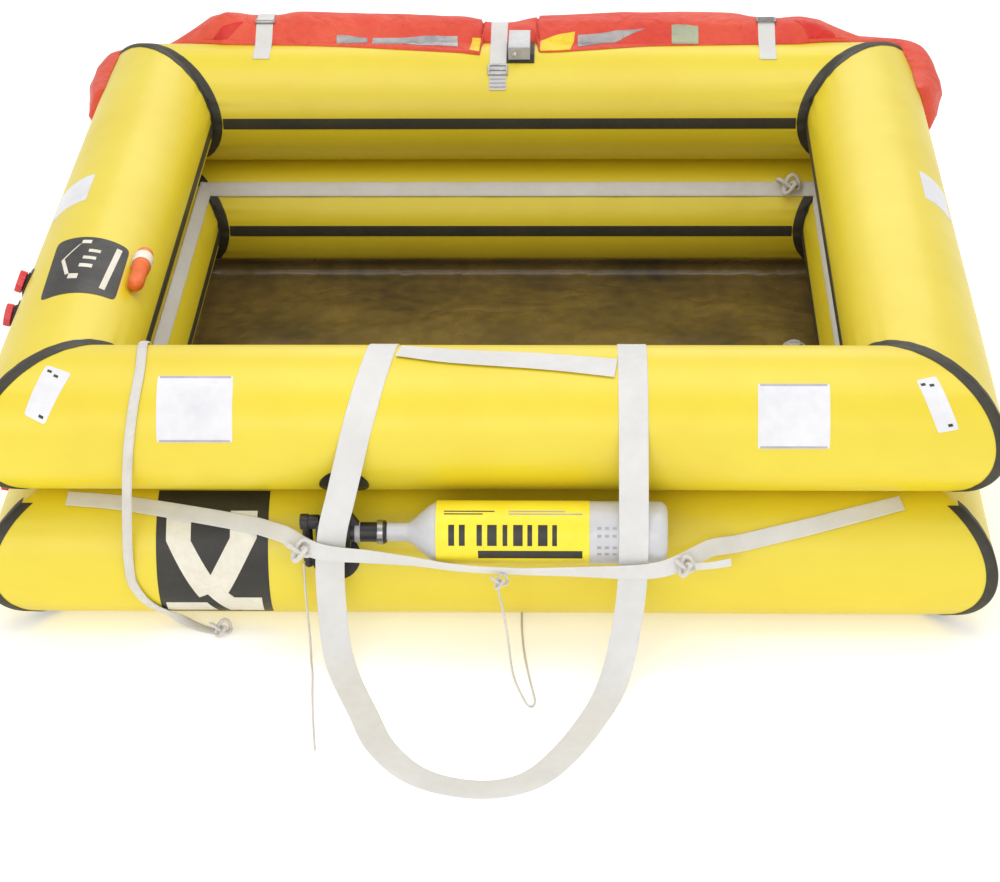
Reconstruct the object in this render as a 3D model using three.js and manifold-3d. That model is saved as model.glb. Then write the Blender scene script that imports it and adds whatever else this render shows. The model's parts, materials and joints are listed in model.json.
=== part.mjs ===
// Inflated coastal liferaft for four people: two rectangular buoyancy rings, one on the other, round a fabric
// floor, with a gas cylinder and a boarding strap at the front and the canopy rolled up along the back.
// Millimetres, +Z up. The origin is on the ground at the middle of the rings, under the floor. +X runs along
// the longer side, -Y is the boarding side and +Y is the canopy side.

import * as THREE from 'three';
import { mergeVertices } from 'three/addons/utils/BufferGeometryUtils.js';
import Module from 'manifold-3d';

const wasm = await Module();
wasm.setup();

// Driving sizes of the rings
const TUBE_DIAMETER = 250;
const OUTER_LENGTH = 1760;
const OUTER_WIDTH = 1685;
const TUBE_FACETS = 32;
const SEAT_GAP = 0.3;

// Tapes that seal the rings' mitres and inner seams
const TAPE_THICKNESS = 1;
const TAPE_REACH = 20;
const TAPE_END_ANGLE = 62;
const SEAM_TAPE_WIDTH = 24;

// Floor sheet: flat on the ground, curling up to a hem glued on the inner lower quarter of the lower ring
const FLOOR_THICKNESS = 1.5;
const FLOOR_HEM_ANGLES = [37, 46];
const FLOOR_CURL_STEPS = 6;
const FLOOR_MIDDLE = [430, 395];

// Rolled canopy
const CANOPY_BULK = 92;
const CANOPY_HEM = 4;
const CANOPY_LOW_ANGLE = -26;
const CANOPY_SIDE_REACH = 90;
const CANOPY_ENDS = {
  left: { sign: -1, corner: 18, side: 34, top: 46 },
  right: { sign: 1, corner: 32, side: 46, top: 58 },
};
const CANOPY_SIDE_TOP = 32;
const CANOPY_FOLD = 7;
const CANOPY_CROWN_SPAN = 420;
const CANOPY_PINCH = 0.3;
const CANOPY_NOTCH = { left: -57, right: 58, top: 75, slope: 5 };

// Straps round the canopy, with their buckles
const CANOPY_STRAP_WIDTH = 36;
const CANOPY_STRAP_THICKNESS = 1.6;
const CANOPY_STRAP_ANCHOR_ANGLE = -58;
const CANOPY_STRAPS = [
  { name: 'left', x: -529, tail: 112, buckle: 66 },
  { name: 'centre', x: -23, tail: 147, buckle: 128 },
  { name: 'right', x: 550, tail: 114, buckle: 66 },
];
const BUCKLE_WIDTH = 42;
const BUCKLE_LENGTH = 27;
const BUCKLE_THICKNESS = 3;
const BUCKLE_BAR = 4;

// Canopy light: a battery box with its bulb on a backing pad
const LIGHT_X = 22;
const LIGHT_ANGLE = 97;
const LIGHT_BOX_WIDTH = 46;
const LIGHT_BOX_LENGTH = 78;
const LIGHT_BOX_HEIGHT = 24;
const LIGHT_PAD_SPREAD = [79, 118];
const LIGHT_PAD_RIGHT = 54;
const LIGHT_PAD_THICKNESS = 3;
const LIGHT_BULB_RADIUS = 6;

// Gas cylinder, lying against the lower ring
const CYLINDER_DIAMETER = 108;
const CYLINDER_SEAT_ANGLE = 36;
const CYLINDER_LEFT = -170;
const CYLINDER_RIGHT = 310;
const CYLINDER_SHOULDER_X = -87;
const CYLINDER_NECK_X = -132;
const CYLINDER_NECK_RADIUS = 16;
const CYLINDER_BASE_ROUND = 16;
const LABEL_SPAN = [-84, 177];
const LABEL_ANGLES = [-70, 140];
const LABEL_THICKNESS = 0.5;

// Firing head, its pull pin and the two inlet valves
const HEAD_RADIUS = 17;
const HEAD_COLLAR_RADIUS = 20;
const HEAD_LEFT = -318;
const HEAD_BLOCK = { left: -290, right: -232, depth: 42, height: 46 };
const STRIKER_RADIUS = 14;
const STRIKER_RISE = 20;
const PIN_X = -306;
const PIN_SLEEVE_RADIUS = 9;
const PIN_SLEEVE_DROP = 56;
const PIN_RADIUS = 3.2;
const PIN_CLEARANCE = 0.4;
const PIN_SHANK = 24;
const PIN_KNOB_RADIUS = 7;
const PIN_KNOB_LENGTH = 12;
const HOSE_RADIUS = 8;
const HOSE_PORT_X = -261;
const INLET_FLANGE_RADIUS = 43;
const INLET_FLANGE_THICKNESS = 2.4;
const INLET_BOSS_RADIUS = 15;
const INLET_BOSS_HEIGHT = 14;
const UPPER_INLET = { x: -244, angle: -38 };
const LOWER_INLET = { x: -262, angle: 19 };

// Webbing: boarding strap, its cross strap and the lifelines
const BOARDING_WIDTH = 50;
const WEBBING_THICKNESS = 1.6;
const LAYER_GAP = 0.5;
const CROSS_STRAP_WIDTH = 42;
const LIFELINE_WIDTH = 30;
const INNER_LIFELINE_WIDTH = 32;

// Rope and thin cords
const ROPE_WIDTH = 17;
const ROPE_THICKNESS = 5;
const CORD_DIAMETER = 4;

// Valves on the left side and the floor drain
const SIDE_VALVES = [
  { name: 'upper_back', ring: 'upper', along: -285, angle: 22 },
  { name: 'upper_front', ring: 'upper', along: -388, angle: 14 },
  { name: 'lower', ring: 'lower', along: -539, angle: 10 },
];
const VALVE_FLANGE_RADIUS = 31;
const VALVE_FLANGE_THICKNESS = 2;
const VALVE_NECK_RADIUS = 17;
const VALVE_NECK_HEIGHT = 7;
const CAP_RADIUS = 22;
const CAP_HEIGHT = 14;
const CAP_RECESS = 3;
const CAP_GRIPS = 8;
const CAP_CLEARANCE = 0.4;
const DRAIN_INSET = [155, 427.5];
const DRAIN_RADIUS = 24;
const DRAIN_HEIGHT = 5;
const DRAIN_CAP_RADIUS = 15;
const DRAIN_CAP_HEIGHT = 7;

// Locator lamp on the left of the upper ring
const LAMP_ALONG = -328;
const LAMP_ANGLE = 137;
const LAMP_LENGTH = 150;
const LAMP_RADIUS = 17;
const LAMP_BAND_WIDTH = 30;
const LAMP_BAND_THICKNESS = 1.5;

// Places worked out from the driving sizes. Radii of the faceted rings are measured to the flats.
const radians = THREE.MathUtils.degToRad;
const FACET_STEP = 360 / TUBE_FACETS;
const FLAT_SHARE = Math.cos(radians(FACET_STEP / 2));
const TUBE_RADIUS = TUBE_DIAMETER / 2;
const CENTRE_X = OUTER_LENGTH / 2 - TUBE_RADIUS;
const CENTRE_Y = OUTER_WIDTH / 2 - TUBE_RADIUS;
const DRAIN_PLACE = [CENTRE_X - DRAIN_INSET[0], CENTRE_Y - DRAIN_INSET[1]];
const TAPE_INNER = TUBE_RADIUS + SEAT_GAP;
const TAPE_OUTER = TAPE_INNER + TAPE_THICKNESS;
const LOWER_HEIGHT = TAPE_OUTER;
const UPPER_HEIGHT = LOWER_HEIGHT + 2 * TUBE_RADIUS + SEAT_GAP;
const ROUND_SEAT = TUBE_RADIUS / FLAT_SHARE + SEAT_GAP;
const FLOOR_SEAT = TAPE_OUTER / FLAT_SHARE + 2 * SEAT_GAP;
const RING_HEIGHT = { upper: UPPER_HEIGHT, lower: LOWER_HEIGHT };
const CYLINDER_RADIUS = CYLINDER_DIAMETER / 2;
const CYLINDER_REACH = ROUND_SEAT + CYLINDER_RADIUS;
const CYLINDER_Y = -CENTRE_Y - CYLINDER_REACH * Math.cos(radians(CYLINDER_SEAT_ANGLE));
const CYLINDER_Z = LOWER_HEIGHT + CYLINDER_REACH * Math.sin(radians(CYLINDER_SEAT_ANGLE));

// The four arms of a ring. Angles round a tube run from its outer side, over the top, to its inner side.
const ARMS = {
  front: { along: [1, 0], out: [0, -1], offset: CENTRE_Y, half: CENTRE_X },
  back: { along: [1, 0], out: [0, 1], offset: CENTRE_Y, half: CENTRE_X },
  left: { along: [0, 1], out: [-1, 0], offset: CENTRE_X, half: CENTRE_Y },
  right: { along: [0, 1], out: [1, 0], offset: CENTRE_X, half: CENTRE_Y },
};
const CORNERS = { front_left: [-1, -1], front_right: [1, -1], back_right: [1, 1], back_left: [-1, 1] };

const MATERIALS = {
  yellow: { color: 0xf0de2c, roughness: 0.35, metalness: 0 },
  charcoal: { color: 0x3a3a30, roughness: 0.6, metalness: 0 },
  floor: { color: 0x4a4030, roughness: 0.3, metalness: 0 },
  orange: { color: 0xee5538, roughness: 0.6, metalness: 0 },
  webbing: { color: 0xf2eee6, roughness: 0.8, metalness: 0 },
  steel: { color: 0x9a9a98, roughness: 0.35, metalness: 1 },
  cylinder: { color: 0xc8c8ca, roughness: 0.4, metalness: 0.2 },
  label: { color: 0xf0e24a, roughness: 0.5, metalness: 0 },
  black: { color: 0x262624, roughness: 0.5, metalness: 0 },
  white: { color: 0xdededf, roughness: 0.4, metalness: 0 },
  clear: { color: 0xe8e6da, roughness: 0.1, metalness: 0 },
  red: { color: 0xd81f2a, roughness: 0.35, metalness: 0 },
  lamp: { color: 0xe8742c, roughness: 0.4, metalness: 0 },
  rope: { color: 0xf4f1ea, roughness: 0.85, metalness: 0 },
};

const raft = new THREE.Group();

/** Adds a named piece with a material of its own. */
function addPiece(name, geometry, material) {
  geometry.computeVertexNormals();
  const mesh = new THREE.Mesh(geometry, new THREE.MeshStandardMaterial(MATERIALS[material]));
  mesh.name = name;
  raft.add(mesh);
}

/** Geometry from corners and triangles, turned inside out where its volume comes out negative. */
function closedSolid(positions, triangles) {
  const corner = (i) => new THREE.Vector3(...positions[i]);
  let volume = 0;
  for (const [a, b, c] of triangles) {
    volume += corner(a).dot(corner(b).cross(corner(c)));
  }
  const facing = volume < 0 ? triangles.map(([a, b, c]) => [a, c, b]) : triangles;
  const geometry = new THREE.BufferGeometry();
  geometry.setAttribute('position', new THREE.Float32BufferAttribute(positions.flat(), 3));
  geometry.setIndex(facing.flat());
  return geometry;
}

/** Flat cap over a loop, as a strip between its first and second halves. */
function capTriangles(start, count, forward) {
  const triangles = [];
  for (let j = 0; j < count / 2 - 1; j++) {
    const quad = [start + j, start + j + 1, start + count - 2 - j, start + count - 1 - j];
    const [a, b, c, d] = forward ? quad : quad.slice().reverse();
    triangles.push([a, b, c], [a, c, d]);
  }
  return triangles;
}

/** Solid through a row of matching loops, capped at its two ends or joined end to end. */
function loft(loops, joined = false) {
  const count = loops[0].length;
  const triangles = [];
  const spans = joined ? loops.length : loops.length - 1;
  for (let i = 0; i < spans; i++) {
    const here = i * count;
    const next = ((i + 1) % loops.length) * count;
    for (let j = 0; j < count; j++) {
      const k = (j + 1) % count;
      triangles.push([here + j, here + k, next + k], [here + j, next + k, next + j]);
    }
  }
  if (!joined) {
    triangles.push(...capTriangles(0, count, false), ...capTriangles(spans * count, count, true));
  }
  return closedSolid(loops.flat(), triangles);
}

/** Closed library geometry as a solid that can be joined and cut. */
function toSolid(geometry) {
  const bare = geometry.clone();
  bare.deleteAttribute('normal');
  bare.deleteAttribute('uv');
  const merged = mergeVertices(bare, 1e-4);
  const vertProperties = Float32Array.from(merged.attributes.position.array);
  const triVerts = Uint32Array.from(merged.index.array);
  return new wasm.Manifold(new wasm.Mesh({ numProp: 3, vertProperties, triVerts }));
}

/** Solid back to three.js geometry. */
function toGeometry(solid) {
  const { vertProperties, triVerts } = solid.getMesh();
  const geometry = new THREE.BufferGeometry();
  geometry.setAttribute('position', new THREE.BufferAttribute(vertProperties, 3));
  geometry.setIndex(Array.from(triVerts));
  return geometry;
}

/** Distance from a tube's axis to its faceted skin, for the radius to its flats. */
function skinRadius(degrees, flatRadius) {
  const fromFlat = degrees - Math.round(degrees / FACET_STEP) * FACET_STEP;
  return flatRadius / Math.cos(radians(fromFlat));
}

/** Angles from one to another, with every corner of the faceted skin between them. */
function skinAngles(from, to) {
  const angles = [from];
  const first = Math.floor(from / FACET_STEP + 0.5) + 0.5;
  for (let angle = first * FACET_STEP; angle < to - 1e-6; angle += FACET_STEP) {
    if (angle > from + 1e-6) angles.push(angle);
  }
  angles.push(to);
  return angles;
}

/** Point at a radius and angle round an arm's tube, some way along that arm. */
function armPoint(arm, height, along, degrees, radius) {
  const { along: direction, out, offset } = ARMS[arm];
  const reach = offset + radius * Math.cos(radians(degrees));
  const x = direction[0] * along + out[0] * reach;
  const y = direction[1] * along + out[1] * reach;
  return [x, y, height + radius * Math.sin(radians(degrees))];
}

/** Point on the mitre of a ring's corner, moved back along one arm or the other by a setback. */
function cornerPoint(corner, height, degrees, radius, setbackX = 0, setbackY = 0) {
  const [sideX, sideY] = CORNERS[corner];
  const reach = radius * Math.cos(radians(degrees));
  const x = sideX * (CENTRE_X + reach - setbackX);
  const y = sideY * (CENTRE_Y + reach - setbackY);
  return [x, y, height + radius * Math.sin(radians(degrees))];
}

/** Frame on an arm's skin: local X along the arm and local Y straight out of the tube. */
function seatFrame(arm, height, along, degrees, radius) {
  const { along: direction, out } = ARMS[arm];
  const level = Math.cos(radians(degrees));
  const outward = new THREE.Vector3(out[0] * level, out[1] * level, Math.sin(radians(degrees)));
  const lengthwise = new THREE.Vector3(direction[0], direction[1], 0);
  const sideways = new THREE.Vector3().crossVectors(lengthwise, outward);
  const frame = new THREE.Matrix4().makeBasis(lengthwise, outward, sideways);
  return frame.setPosition(...armPoint(arm, height, along, degrees, radius));
}

/** Turned solid about local Y from half-section points [radius, height]. */
function turned(profile, segments) {
  const points = profile.map(([radius, height]) => new THREE.Vector2(radius, height));
  return new THREE.LatheGeometry(points, segments);
}

/** Ring of one faceted section carried round the four mitred corners. */
function mitredRing(height, flatRadius) {
  const angles = skinAngles(FACET_STEP / 2, 360 - FACET_STEP / 2);
  const loops = Object.keys(CORNERS).map((corner) =>
    angles.map((angle) => cornerPoint(corner, height, angle, skinRadius(angle, flatRadius))));
  return loft(loops, true);
}

/** Band folded over one mitre, from the waist round the far side of the ring to the waist inside. */
function cornerBand(corner, height, upward, [innerRadius, outerRadius], reach) {
  const loops = skinAngles(-TAPE_END_ANGLE, 180 + TAPE_END_ANGLE).map((swept) => {
    const angle = upward ? swept : -swept;
    const outer = skinRadius(angle, outerRadius);
    const inner = skinRadius(angle, innerRadius);
    return [
      cornerPoint(corner, height, angle, outer, reach, 0),
      cornerPoint(corner, height, angle, outer),
      cornerPoint(corner, height, angle, outer, 0, reach),
      cornerPoint(corner, height, angle, inner, 0, reach),
      cornerPoint(corner, height, angle, inner),
      cornerPoint(corner, height, angle, inner, reach, 0),
    ];
  });
  return loft(loops);
}

/** Tape sealing one mitre. */
function cornerTape(corner, height, upward) {
  return cornerBand(corner, height, upward, [TAPE_INNER, TAPE_OUTER], TAPE_REACH);
}

/** Seam tape along the inner side of one arm, between its two corner tapes. */
function seamTape(arm, height) {
  const half = THREE.MathUtils.radToDeg(SEAM_TAPE_WIDTH / 2 / TUBE_RADIUS);
  const angles = skinAngles(180 - half, 180 + half);
  const end = ARMS[arm].half - TAPE_OUTER - TAPE_REACH - SEAT_GAP;
  const loops = [-end, end].map((along) => [
    ...angles.map((angle) => armPoint(arm, height, along, angle, skinRadius(angle, TAPE_OUTER))),
    ...angles.toReversed().map((angle) => armPoint(arm, height, along, angle, skinRadius(angle, TAPE_INNER))),
  ]);
  return loft(loops);
}

/**
 * Floor: a flat sheet whose edge curls up in an arc that touches the ground and the ring, and ends in a hem on
 * the ring. Its section is worked out as [distance in from the ring's centre line, height].
 */
function floorSheet() {
  const [top, low] = FLOOR_HEM_ANGLES.map(radians);
  const curl = (LOWER_HEIGHT - FLOOR_SEAT * Math.sin(low)) / (1 + Math.sin(low));
  const centre = (FLOOR_SEAT + curl) * Math.cos(low);
  const onCurl = (share, radius) => {
    const turn = (Math.PI / 2 + low) * share;
    return [centre - radius * Math.sin(turn), curl - radius * Math.cos(turn)];
  };
  const onRing = (angle, radius) => [radius * Math.cos(angle), LOWER_HEIGHT - radius * Math.sin(angle)];
  const shares = Array.from({ length: FLOOR_CURL_STEPS + 1 }, (_, i) => i / FLOOR_CURL_STEPS);
  const underside = [...shares.map((share) => onCurl(share, curl)), onRing(top, FLOOR_SEAT)];
  const upperside = [onRing(top, FLOOR_SEAT + FLOOR_THICKNESS),
    ...shares.toReversed().map((share) => onCurl(share, curl - FLOOR_THICKNESS))];
  const level = ([inset, z]) => Object.values(CORNERS).map(([sideX, sideY]) =>
    [sideX * (CENTRE_X - inset), sideY * (CENTRE_Y - inset), z]);
  const middle = (z) => Object.values(CORNERS).map(([sideX, sideY]) =>
    [sideX * FLOOR_MIDDLE[0], sideY * FLOOR_MIDDLE[1], z]);
  return loft([middle(0), ...[...underside, ...upperside].map(level), middle(FLOOR_THICKNESS)]);
}

const STRAP_MARGIN = CANOPY_STRAP_WIDTH / 2 + 2;

/** How far a place on the back arm is from the nearest canopy strap's edge. */
function strapDistance(x) {
  return Math.min(...CANOPY_STRAPS.map((strap) => Math.max(0, Math.abs(x - strap.x) - STRAP_MARGIN)));
}

/**
 * Stations of the canopy roll. Each has the point of the tube's axis, the outward direction, how far the mitre
 * stretches the inside and the outside, the top edge's angle, the bulk and its place.
 */
function canopyStations() {
  const stations = [];
  const sideSteps = 3;
  const cornerSteps = 6;
  const backSteps = 44;
  const side = ({ sign, side }, share) => ({
    at: [sign * CENTRE_X, CENTRE_Y - CANOPY_SIDE_REACH * (1 - share)],
    out: [sign, 0],
    stretchIn: 1,
    stretchOut: 1,
    top: CANOPY_SIDE_TOP,
    bulk: side * (0.25 + 0.75 * Math.sqrt(share)),
    place: sign * (CENTRE_X + 200 - 60 * share),
  });
  const corner = ({ sign, corner, side, top }, share) => {
    const turn = radians(90 * share);
    const [cosine, sine] = [Math.cos(turn), Math.sin(turn)];
    return {
      at: [sign * CENTRE_X, CENTRE_Y],
      out: [sign * cosine, sine],
      stretchIn: 1 / Math.max(cosine, sine),
      stretchOut: (cosine ** 6 + sine ** 6) ** (-1 / 6),
      top: CANOPY_SIDE_TOP + (top - CANOPY_SIDE_TOP) * share,
      bulk: side + (corner - side) * share,
      place: sign * (CENTRE_X + 140 - 140 * share),
    };
  };
  const back = (x) => {
    const strap = CANOPY_STRAPS.find((one) => Math.abs(x - one.x) < STRAP_MARGIN + 1);
    const middle = strap ? strap.x : x;
    const inward = 1 - Math.abs(middle) / CENTRE_X;
    const crown = Math.exp(-((middle / CANOPY_CROWN_SPAN) ** 4));
    const near = Math.exp(-((strapDistance(x) / 60) ** 2));
    const notched = x > CANOPY_NOTCH.left && x < CANOPY_NOTCH.right;
    const end = middle < 0 ? CANOPY_ENDS.left : CANOPY_ENDS.right;
    const fullTop = end.top + (90 - end.top) * Math.min(1, inward * 3) + 12 * crown;
    const full = end.corner + (CANOPY_BULK - end.corner) * Math.min(1, inward * 5);
    return {
      at: [x, CENTRE_Y],
      out: [0, 1],
      stretchIn: 1,
      stretchOut: 1,
      top: notched ? CANOPY_NOTCH.top : fullTop,
      bulk: full * (1 - CANOPY_PINCH * near),
      place: x,
    };
  };
  const strapEdges = CANOPY_STRAPS.flatMap((strap) => [strap.x - STRAP_MARGIN, strap.x + STRAP_MARGIN]);
  const { left, right, slope } = CANOPY_NOTCH;
  const notchEdges = [left - slope, left + 1, right - 1, right + slope];
  const fixedPlaces = [...strapEdges, ...notchEdges];
  const evenPlaces = Array.from({ length: backSteps - 1 }, (_, i) =>
    -CENTRE_X + (2 * CENTRE_X * (i + 1)) / backSteps);
  const freePlaces = evenPlaces.filter((x) => strapDistance(x) > 0 && fixedPlaces.every((y) => Math.abs(x - y) > 9));
  const backPlaces = [...freePlaces, ...fixedPlaces];
  backPlaces.sort((a, b) => a - b);
  const ends = CANOPY_ENDS;
  for (let i = 0; i < sideSteps; i++) stations.push(side(ends.left, i / sideSteps));
  for (let i = 0; i < cornerSteps; i++) stations.push(corner(ends.left, i / cornerSteps));
  stations.push(back(-CENTRE_X), ...backPlaces.map(back), back(CENTRE_X));
  for (let i = cornerSteps - 1; i >= 0; i--) stations.push(corner(ends.right, i / cornerSteps));
  for (let i = sideSteps - 1; i >= 0; i--) stations.push(side(ends.right, i / sideSteps));
  return stations;
}

/** Radius of the canopy's outer face, as a share of the way from its low edge to its top edge. */
function canopyRadius(station, share) {
  const swell = Math.max(0, Math.sin(Math.PI * share)) ** 0.62;
  const open = 1 - Math.exp(-((strapDistance(station.place) / 45) ** 2));
  const creases = Math.sin(share * 21 + station.place / 90) + 0.6 * Math.sin(station.place / 31 + share * 5);
  const fold = CANOPY_FOLD * (station.bulk / CANOPY_BULK) * open * swell * creases;
  return ROUND_SEAT + CANOPY_HEM + station.bulk * swell + fold;
}

const CANOPY_SHARES = Array.from({ length: 10 }, (_, i) => i / 9);

/** Angle of a share of the canopy's section. */
function canopyAngle(station, share) {
  return CANOPY_LOW_ANGLE + (station.top - CANOPY_LOW_ANGLE) * share;
}

/** Canopy roll lofted round the back of the upper ring, its underside cut to the ring and its tapes. */
function canopyRoll() {
  const loops = canopyStations().map((station) => {
    const place = (share, radius, stretch) => {
      const angle = radians(canopyAngle(station, share));
      const reach = radius * Math.cos(angle) * stretch;
      const x = station.at[0] + station.out[0] * reach;
      const y = station.at[1] + station.out[1] * reach;
      return [x, y, UPPER_HEIGHT + radius * Math.sin(angle)];
    };
    const outer = CANOPY_SHARES.map((share) => place(share, canopyRadius(station, share), station.stretchOut));
    const inner = CANOPY_SHARES.map((share) => place(share, TUBE_RADIUS - 4, station.stretchIn));
    return [...outer, ...inner.toReversed()];
  });
  const ring = toSolid(mitredRing(UPPER_HEIGHT, TUBE_RADIUS + SEAT_GAP));
  const band = [TUBE_RADIUS - 5, TAPE_OUTER + SEAT_GAP];
  const tapes = ['back_left', 'back_right'].map((corner) =>
    toSolid(cornerBand(corner, UPPER_HEIGHT, true, band, TAPE_REACH + SEAT_GAP)));
  const seated = tapes.reduce((roll, tape) => roll.subtract(tape), toSolid(loft(loops)).subtract(ring));
  return toGeometry(seated);
}

/** Canopy section where a strap crosses it. */
function strapStation(strap) {
  return canopyStations().find(({ place }) => Math.abs(place - strap.x) < STRAP_MARGIN + 1);
}

/** Angles and radii of the face that a canopy strap lies on, from its tail to its anchor. */
function strapSeat(strap) {
  const station = strapStation(strap);
  const overTube = (from, to) => {
    const steps = Math.max(1, Math.ceil((from - to) / 6));
    return Array.from({ length: steps + 1 }, (_, i) => [from + ((to - from) * i) / steps, ROUND_SEAT + 0.2]);
  };
  const overCanopy = CANOPY_SHARES.toReversed().map((share) =>
    [canopyAngle(station, share), canopyRadius(station, share) + SEAT_GAP]);
  const top = overCanopy[0][0];
  const low = overCanopy.at(-1)[0];
  return [...overTube(strap.tail, top + 2), ...overCanopy, ...overTube(low - 3, CANOPY_STRAP_ANCHOR_ANGLE)];
}

/** Strap from its tail on the inside, over the canopy, to its anchor low on the outside. */
function canopyStrap(strap) {
  const half = CANOPY_STRAP_WIDTH / 2;
  const loops = strapSeat(strap).map(([angle, radius]) => {
    const edge = (side, lift) => armPoint('back', UPPER_HEIGHT, strap.x + side * half, angle, radius + lift);
    const outer = CANOPY_STRAP_THICKNESS;
    return [edge(-1, outer), edge(1, outer), edge(1, 0), edge(-1, 0)];
  });
  return loft(loops);
}

/** Ladder-lock buckle: a plate with two slots and three bars, flat side towards the strap. */
function strapBuckle(strap) {
  const rounded = (width, length, round) => {
    const [w, l] = [width / 2, length / 2];
    const shape = new THREE.Shape();
    shape.moveTo(-w + round, -l);
    shape.lineTo(w - round, -l);
    shape.quadraticCurveTo(w, -l, w, -l + round);
    shape.lineTo(w, l - round);
    shape.quadraticCurveTo(w, l, w - round, l);
    shape.lineTo(-w + round, l);
    shape.quadraticCurveTo(-w, l, -w, l - round);
    shape.lineTo(-w, -l + round);
    shape.quadraticCurveTo(-w, -l, -w + round, -l);
    return shape;
  };
  const plate = rounded(BUCKLE_WIDTH, BUCKLE_LENGTH, 3);
  const slotLength = (BUCKLE_LENGTH - 3 * BUCKLE_BAR) / 2;
  const slotWidth = BUCKLE_WIDTH - 2 * BUCKLE_BAR;
  for (const side of [-1, 1]) {
    const slot = new THREE.Path();
    const middle = (side * (slotLength + BUCKLE_BAR)) / 2;
    slot.moveTo(-slotWidth / 2, middle - slotLength / 2);
    slot.lineTo(-slotWidth / 2, middle + slotLength / 2);
    slot.lineTo(slotWidth / 2, middle + slotLength / 2);
    slot.lineTo(slotWidth / 2, middle - slotLength / 2);
    plate.holes.push(slot);
  }
  const geometry = new THREE.ExtrudeGeometry(plate, { depth: BUCKLE_THICKNESS, bevelEnabled: false, curveSegments: 3 });
  geometry.rotateX(-Math.PI / 2);
  const rows = strapSeat(strap);
  const next = rows.findIndex(([angle]) => angle < strap.buckle);
  const [from, to] = [rows[next - 1], rows[next]].map(([angle, radius]) =>
    new THREE.Vector3(...armPoint('back', UPPER_HEIGHT, strap.x, angle, radius)));
  const lengthwise = new THREE.Vector3(1, 0, 0);
  const sideways = new THREE.Vector3().subVectors(from, to).normalize();
  const outward = new THREE.Vector3().crossVectors(sideways, lengthwise);
  const middle = from.add(to).multiplyScalar(0.5);
  middle.addScaledVector(outward, CANOPY_STRAP_THICKNESS + LAYER_GAP);
  const frame = new THREE.Matrix4().makeBasis(lengthwise, outward, sideways).setPosition(middle);
  return geometry.applyMatrix4(frame);
}

/** Curved pad glued to an arm, between two angles and two places along it. */
function curvedPad(arm, height, [low, high], [start, end], inner, outer) {
  const angles = skinAngles(low, high);
  const loops = [start, end].map((along) => [
    ...angles.map((angle) => armPoint(arm, height, along, angle, skinRadius(angle, outer))),
    ...angles.toReversed().map((angle) => armPoint(arm, height, along, angle, skinRadius(angle, inner))),
  ]);
  return loft(loops);
}

/** Backing pad of the canopy light, beside the centre strap. */
function lightPad() {
  const centre = CANOPY_STRAPS.find(({ name }) => name === 'centre');
  const start = centre.x + CANOPY_STRAP_WIDTH / 2 + LAYER_GAP;
  return curvedPad('back', UPPER_HEIGHT, LIGHT_PAD_SPREAD, [start, LIGHT_PAD_RIGHT],
    TAPE_INNER, TAPE_INNER + LIGHT_PAD_THICKNESS);
}

/** Battery box of the canopy light, its underside cut to the pad's curve. */
function lightBox() {
  const [half, sink] = [LIGHT_BOX_WIDTH / 2 - 2, 8];
  const face = new THREE.Shape();
  face.moveTo(-half, -LIGHT_BOX_LENGTH / 2 + 2);
  face.lineTo(half, -LIGHT_BOX_LENGTH / 2 + 2);
  face.lineTo(half, LIGHT_BOX_LENGTH / 2 - 2);
  face.lineTo(-half, LIGHT_BOX_LENGTH / 2 - 2);
  const rounding = { bevelEnabled: true, bevelThickness: 2, bevelSize: 2, bevelSegments: 2 };
  const block = new THREE.ExtrudeGeometry(face, { depth: LIGHT_BOX_HEIGHT + sink - 4, ...rounding });
  block.translate(0, 0, 2 - sink);
  block.rotateX(-Math.PI / 2);
  const seat = TAPE_INNER + LIGHT_PAD_THICKNESS + SEAT_GAP;
  block.applyMatrix4(seatFrame('back', UPPER_HEIGHT, LIGHT_X, LIGHT_ANGLE, seat));
  const pad = new THREE.CylinderGeometry(seat / FLAT_SHARE, seat / FLAT_SHARE, 4 * LIGHT_BOX_WIDTH, TUBE_FACETS);
  pad.rotateY(radians(FACET_STEP / 2));
  pad.rotateZ(Math.PI / 2);
  pad.translate(LIGHT_X, CENTRE_Y, UPPER_HEIGHT);
  return toGeometry(toSolid(block).subtract(toSolid(pad)));
}

/** Bulb at the front end of the battery box. */
function lightBulb() {
  const round = LIGHT_BULB_RADIUS;
  const length = 15;
  const bulb = turned([[0, 0], [round * 0.7, 0], [round * 0.75, length - round], [round, length - 0.6 * round],
    [round * 0.8, length], [round * 0.4, length + round * 0.45], [0, length + round * 0.6]], 16);
  const seat = TAPE_INNER + LIGHT_PAD_THICKNESS + SEAT_GAP;
  bulb.rotateX(Math.PI / 2);
  bulb.translate(-LIGHT_BOX_WIDTH / 5, LIGHT_BOX_HEIGHT / 2, LIGHT_BOX_LENGTH / 2 + SEAT_GAP);
  return bulb.applyMatrix4(seatFrame('back', UPPER_HEIGHT, LIGHT_X, LIGHT_ANGLE, seat));
}

/** Turns a lathe's own axis to run along +X through the gas cylinder. */
function alongCylinder(geometry) {
  geometry.rotateZ(-Math.PI / 2);
  return geometry.translate(0, CYLINDER_Y, CYLINDER_Z);
}

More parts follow.
